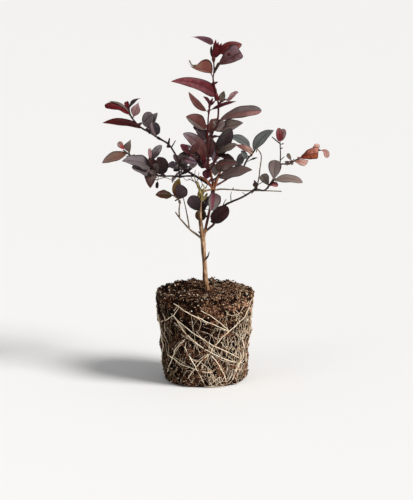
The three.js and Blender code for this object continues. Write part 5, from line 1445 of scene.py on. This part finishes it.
def grown_leaves(plan):
    """The source's rule: opposite pairs, each turned from the last, kept to the spray's space."""
    seed, pairs, (short, long), low, high = plan["grown"]
    draw = draws_from(seed)
    route = on_plant(plan["stem"])
    low, high = on_plant(low), on_plant(high)
    rows = []
    for pair in range(pairs):
        at = min((pair + 0.75) / (pairs - 0.25), 1)
        foot = curve_point(route, at)
        run = curve_run(route, at)
        level = unit(np.cross(run, UP))
        rise = unit(np.cross(level, run))
        turn = pair * 1.2 + (draw() - 0.5) * 0.8
        for way in (1, -1):
            length = short + draw() * (long - short)
            spread = 0.85 + draw() * 0.4 - pair / pairs * 0.35
            width = length * (0.42 + draw() * 0.12)
            facing = 55 + draw() * 50
            reach = (run * math.cos(spread) * length
                     + level * way * math.sin(spread) * math.cos(turn) * length
                     + rise * way * math.sin(spread) * math.sin(turn) * length)
            tip = foot + reach
            inside = np.all(tip >= low) and np.all(tip <= high)
            if inside and clear_of_limbs(foot, reach, width, plan["carrier"]):
                tint = plan["tints"][(pair * 2 + (way > 0)) % len(plan["tints"])]
                rows.append(leaf(at, reach, width, facing, 0.6, tint, "lance"))
    return rows


def finer_shoots(name, rows, route, size):
    """Tiny side shoots with a pair of young leaves, where they stay in the spray's own reach."""
    low, high = [np.array(corner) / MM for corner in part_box(name)]
    rng = np.random.default_rng(sum(map(ord, name)))
    shoots = []
    for row in rows:
        foot = curve_point(route, row["at"])
        run = curve_run(route, row["at"])
        out = unit(unit(row["reach"]) + run * 0.9 + rng.normal(0, 0.15, 3))
        tip = foot + out * (rng.uniform(0.9, 1.9) * size)
        if np.any(tip < low - 0.4) or np.any(tip > high + 0.4):
            continue
        leaves = []
        for way in (1, -1):
            aside = square_to(rng.normal(size=3), out) * way
            reach = (out * 1.1 + aside * 0.8) * rng.uniform(1.0, 1.9) * size
            end = tip + reach
            if np.all(end > low - 0.3) and np.all(end < high + 0.3):
                width = rng.uniform(0.7, 1.1) * size
                leaves.append(leaf(1, reach, width, rng.uniform(20, 80), 0, row["tints"][0]))
        shoots.append(([foot, tip], leaves))
    return shoots


def stem_from_carrier(plan, route):
    """The stem's route, drawn back into the end of its limb where it starts just off that end."""
    if plan["carrier"] in LIMBS:
        end = on_plant(LIMBS[plan["carrier"]][3][-1])
        if np.linalg.norm(end - route[0]) < JOIN_REACH:
            return [end - unit(route[0] - end) * JOIN_OVERLAP, *route]
    return route


def build_sprays():
    """Each spray as a piece of leaves and a piece of twigs. The slot that the record gives it is looked up,
    but not used.
    """
    slots = {entry["node"]: entry["material_slot"] for entry in frame["record"]["subparts"]}
    for order, (name, plan) in enumerate(SPRAYS.items()):
        leaves = Piece(name + "_leaves")
        twigs = Piece(name + "_twigs")
        bark = plan["bark"]
        route = on_plant(plan["stem"])
        rows = list(plan["leaves"]) + (grown_leaves(plan) if plan["grown"] else [])
        stem = stem_from_carrier(plan, route)
        knots = [(row["at"] * (len(stem) - 1), NODE_REACH, NODE_SWELL) for row in rows]
        relief = limb_relief(STEM_RELIEF, STEM_SEED + order)
        add_tube(twigs, stem, STEM_RADII, bark, STEM_STEP, 12, knots, relief)
        groups = [(route, rows)]
        for twig, twig_rows in plan["twigs"]:
            places = on_plant(twig)
            groups.append((places, twig_rows))
            relief = limb_relief(TWIG_RELIEF, TWIG_SEED + order)
            add_tube(twigs, places, TWIG_RADII, bark, STEM_STEP, 10, relief=relief)
        seeds = itertools.count(1000 * (order + 1) + 1)
        for places, group in groups:
            for row in group:
                add_leaf(leaves, curve_point(places, row["at"]), row, next(seeds))
        for twig, small in finer_shoots(name, rows, route, 1.0 if plan["grown"] else 0.5):
            add_tube(twigs, twig, SHOOT_RADII, bark, LIMB_STEP, 6)
            for row in small:
                add_leaf(leaves, twig[-1], row, next(seeds))
        leaves.build(slots[name], name, crease=60)
        twigs.build(bark, name)


# Studio

def place_object(name, data):
    """A new object with this data, in the scene."""
    thing = bpy.data.objects.new(name, data)
    bpy.context.scene.collection.objects.link(thing)
    return thing


def turn_towards(thing, way):
    """Turn a light so that it shines this way."""
    thing.rotation_euler = (math.acos(-way[2]), 0, math.atan2(way[1], way[0]) - math.pi / 2)


def build_camera():
    camera = place_object("camera", bpy.data.cameras.new("camera"))
    camera.location = (VIEW_CENTRE + TO_EYE * EYE_DISTANCE) * MM
    camera.rotation_euler = (math.pi / 2 - EYE_HEIGHT, 0, 0)
    camera.data.sensor_width = SENSOR
    camera.data.lens = SENSOR * EYE_DISTANCE / VIEW_TALL
    camera.data.clip_start = 0.05
    camera.data.clip_end = 50
    bpy.context.scene.camera = camera


def build_floor():
    mesh = bpy.data.meshes.new("floor")
    corners = [(-FLOOR_HALF, -FLOOR_HALF, 0), (FLOOR_HALF, -FLOOR_HALF, 0), (FLOOR_HALF, FLOOR_HALF, 0),
               (-FLOOR_HALF, FLOOR_HALF, 0)]
    mesh.from_pydata(corners, [], [(0, 1, 2, 3)])
    look = bpy.data.materials.new("floor")
    look.use_nodes = True
    shader = look.node_tree.nodes["Principled BSDF"]
    shader.inputs["Base Color"].default_value = (FLOOR_GREY, FLOOR_GREY, FLOOR_GREY, 1)
    shader.inputs["Roughness"].default_value = 0.9
    mesh.materials.append(look)
    floor = place_object("floor", mesh)


def build_lights():
    """Soft light from the right, a weak one from the front left, and pale air all round."""
    world = bpy.data.worlds.new("studio")
    bpy.context.scene.world = world
    world.use_nodes = True
    world.node_tree.nodes["Background"].inputs["Color"].default_value = (1, 1, 1, 1)
    world.node_tree.nodes["Background"].inputs["Strength"].default_value = SKY_POWER
    sun = bpy.data.lights.new("sun", "SUN")
    sun.energy = SUN_POWER
    sun.angle = SUN_SPREAD
    sun.color = SUN_COLOUR
    turn_towards(place_object("sun", sun), -unit(SUN_WAY))
    fill = bpy.data.lights.new("fill", "AREA")
    fill.shape = "DISK"
    fill.size = FILL_SIZE
    fill.energy = FILL_POWER
    lamp = place_object("fill", fill)
    lamp.location = FILL_PLACE
    turn_towards(lamp, unit(FILL_TARGET - FILL_PLACE))
    bpy.context.scene.view_settings.view_transform = "Standard"


build_camera()
build_floor()
build_lights()
build_soil()
build_crumbs()
build_fibres()
build_roots()
build_trunk()
build_limbs()
build_fine_twigs()
build_sprays()
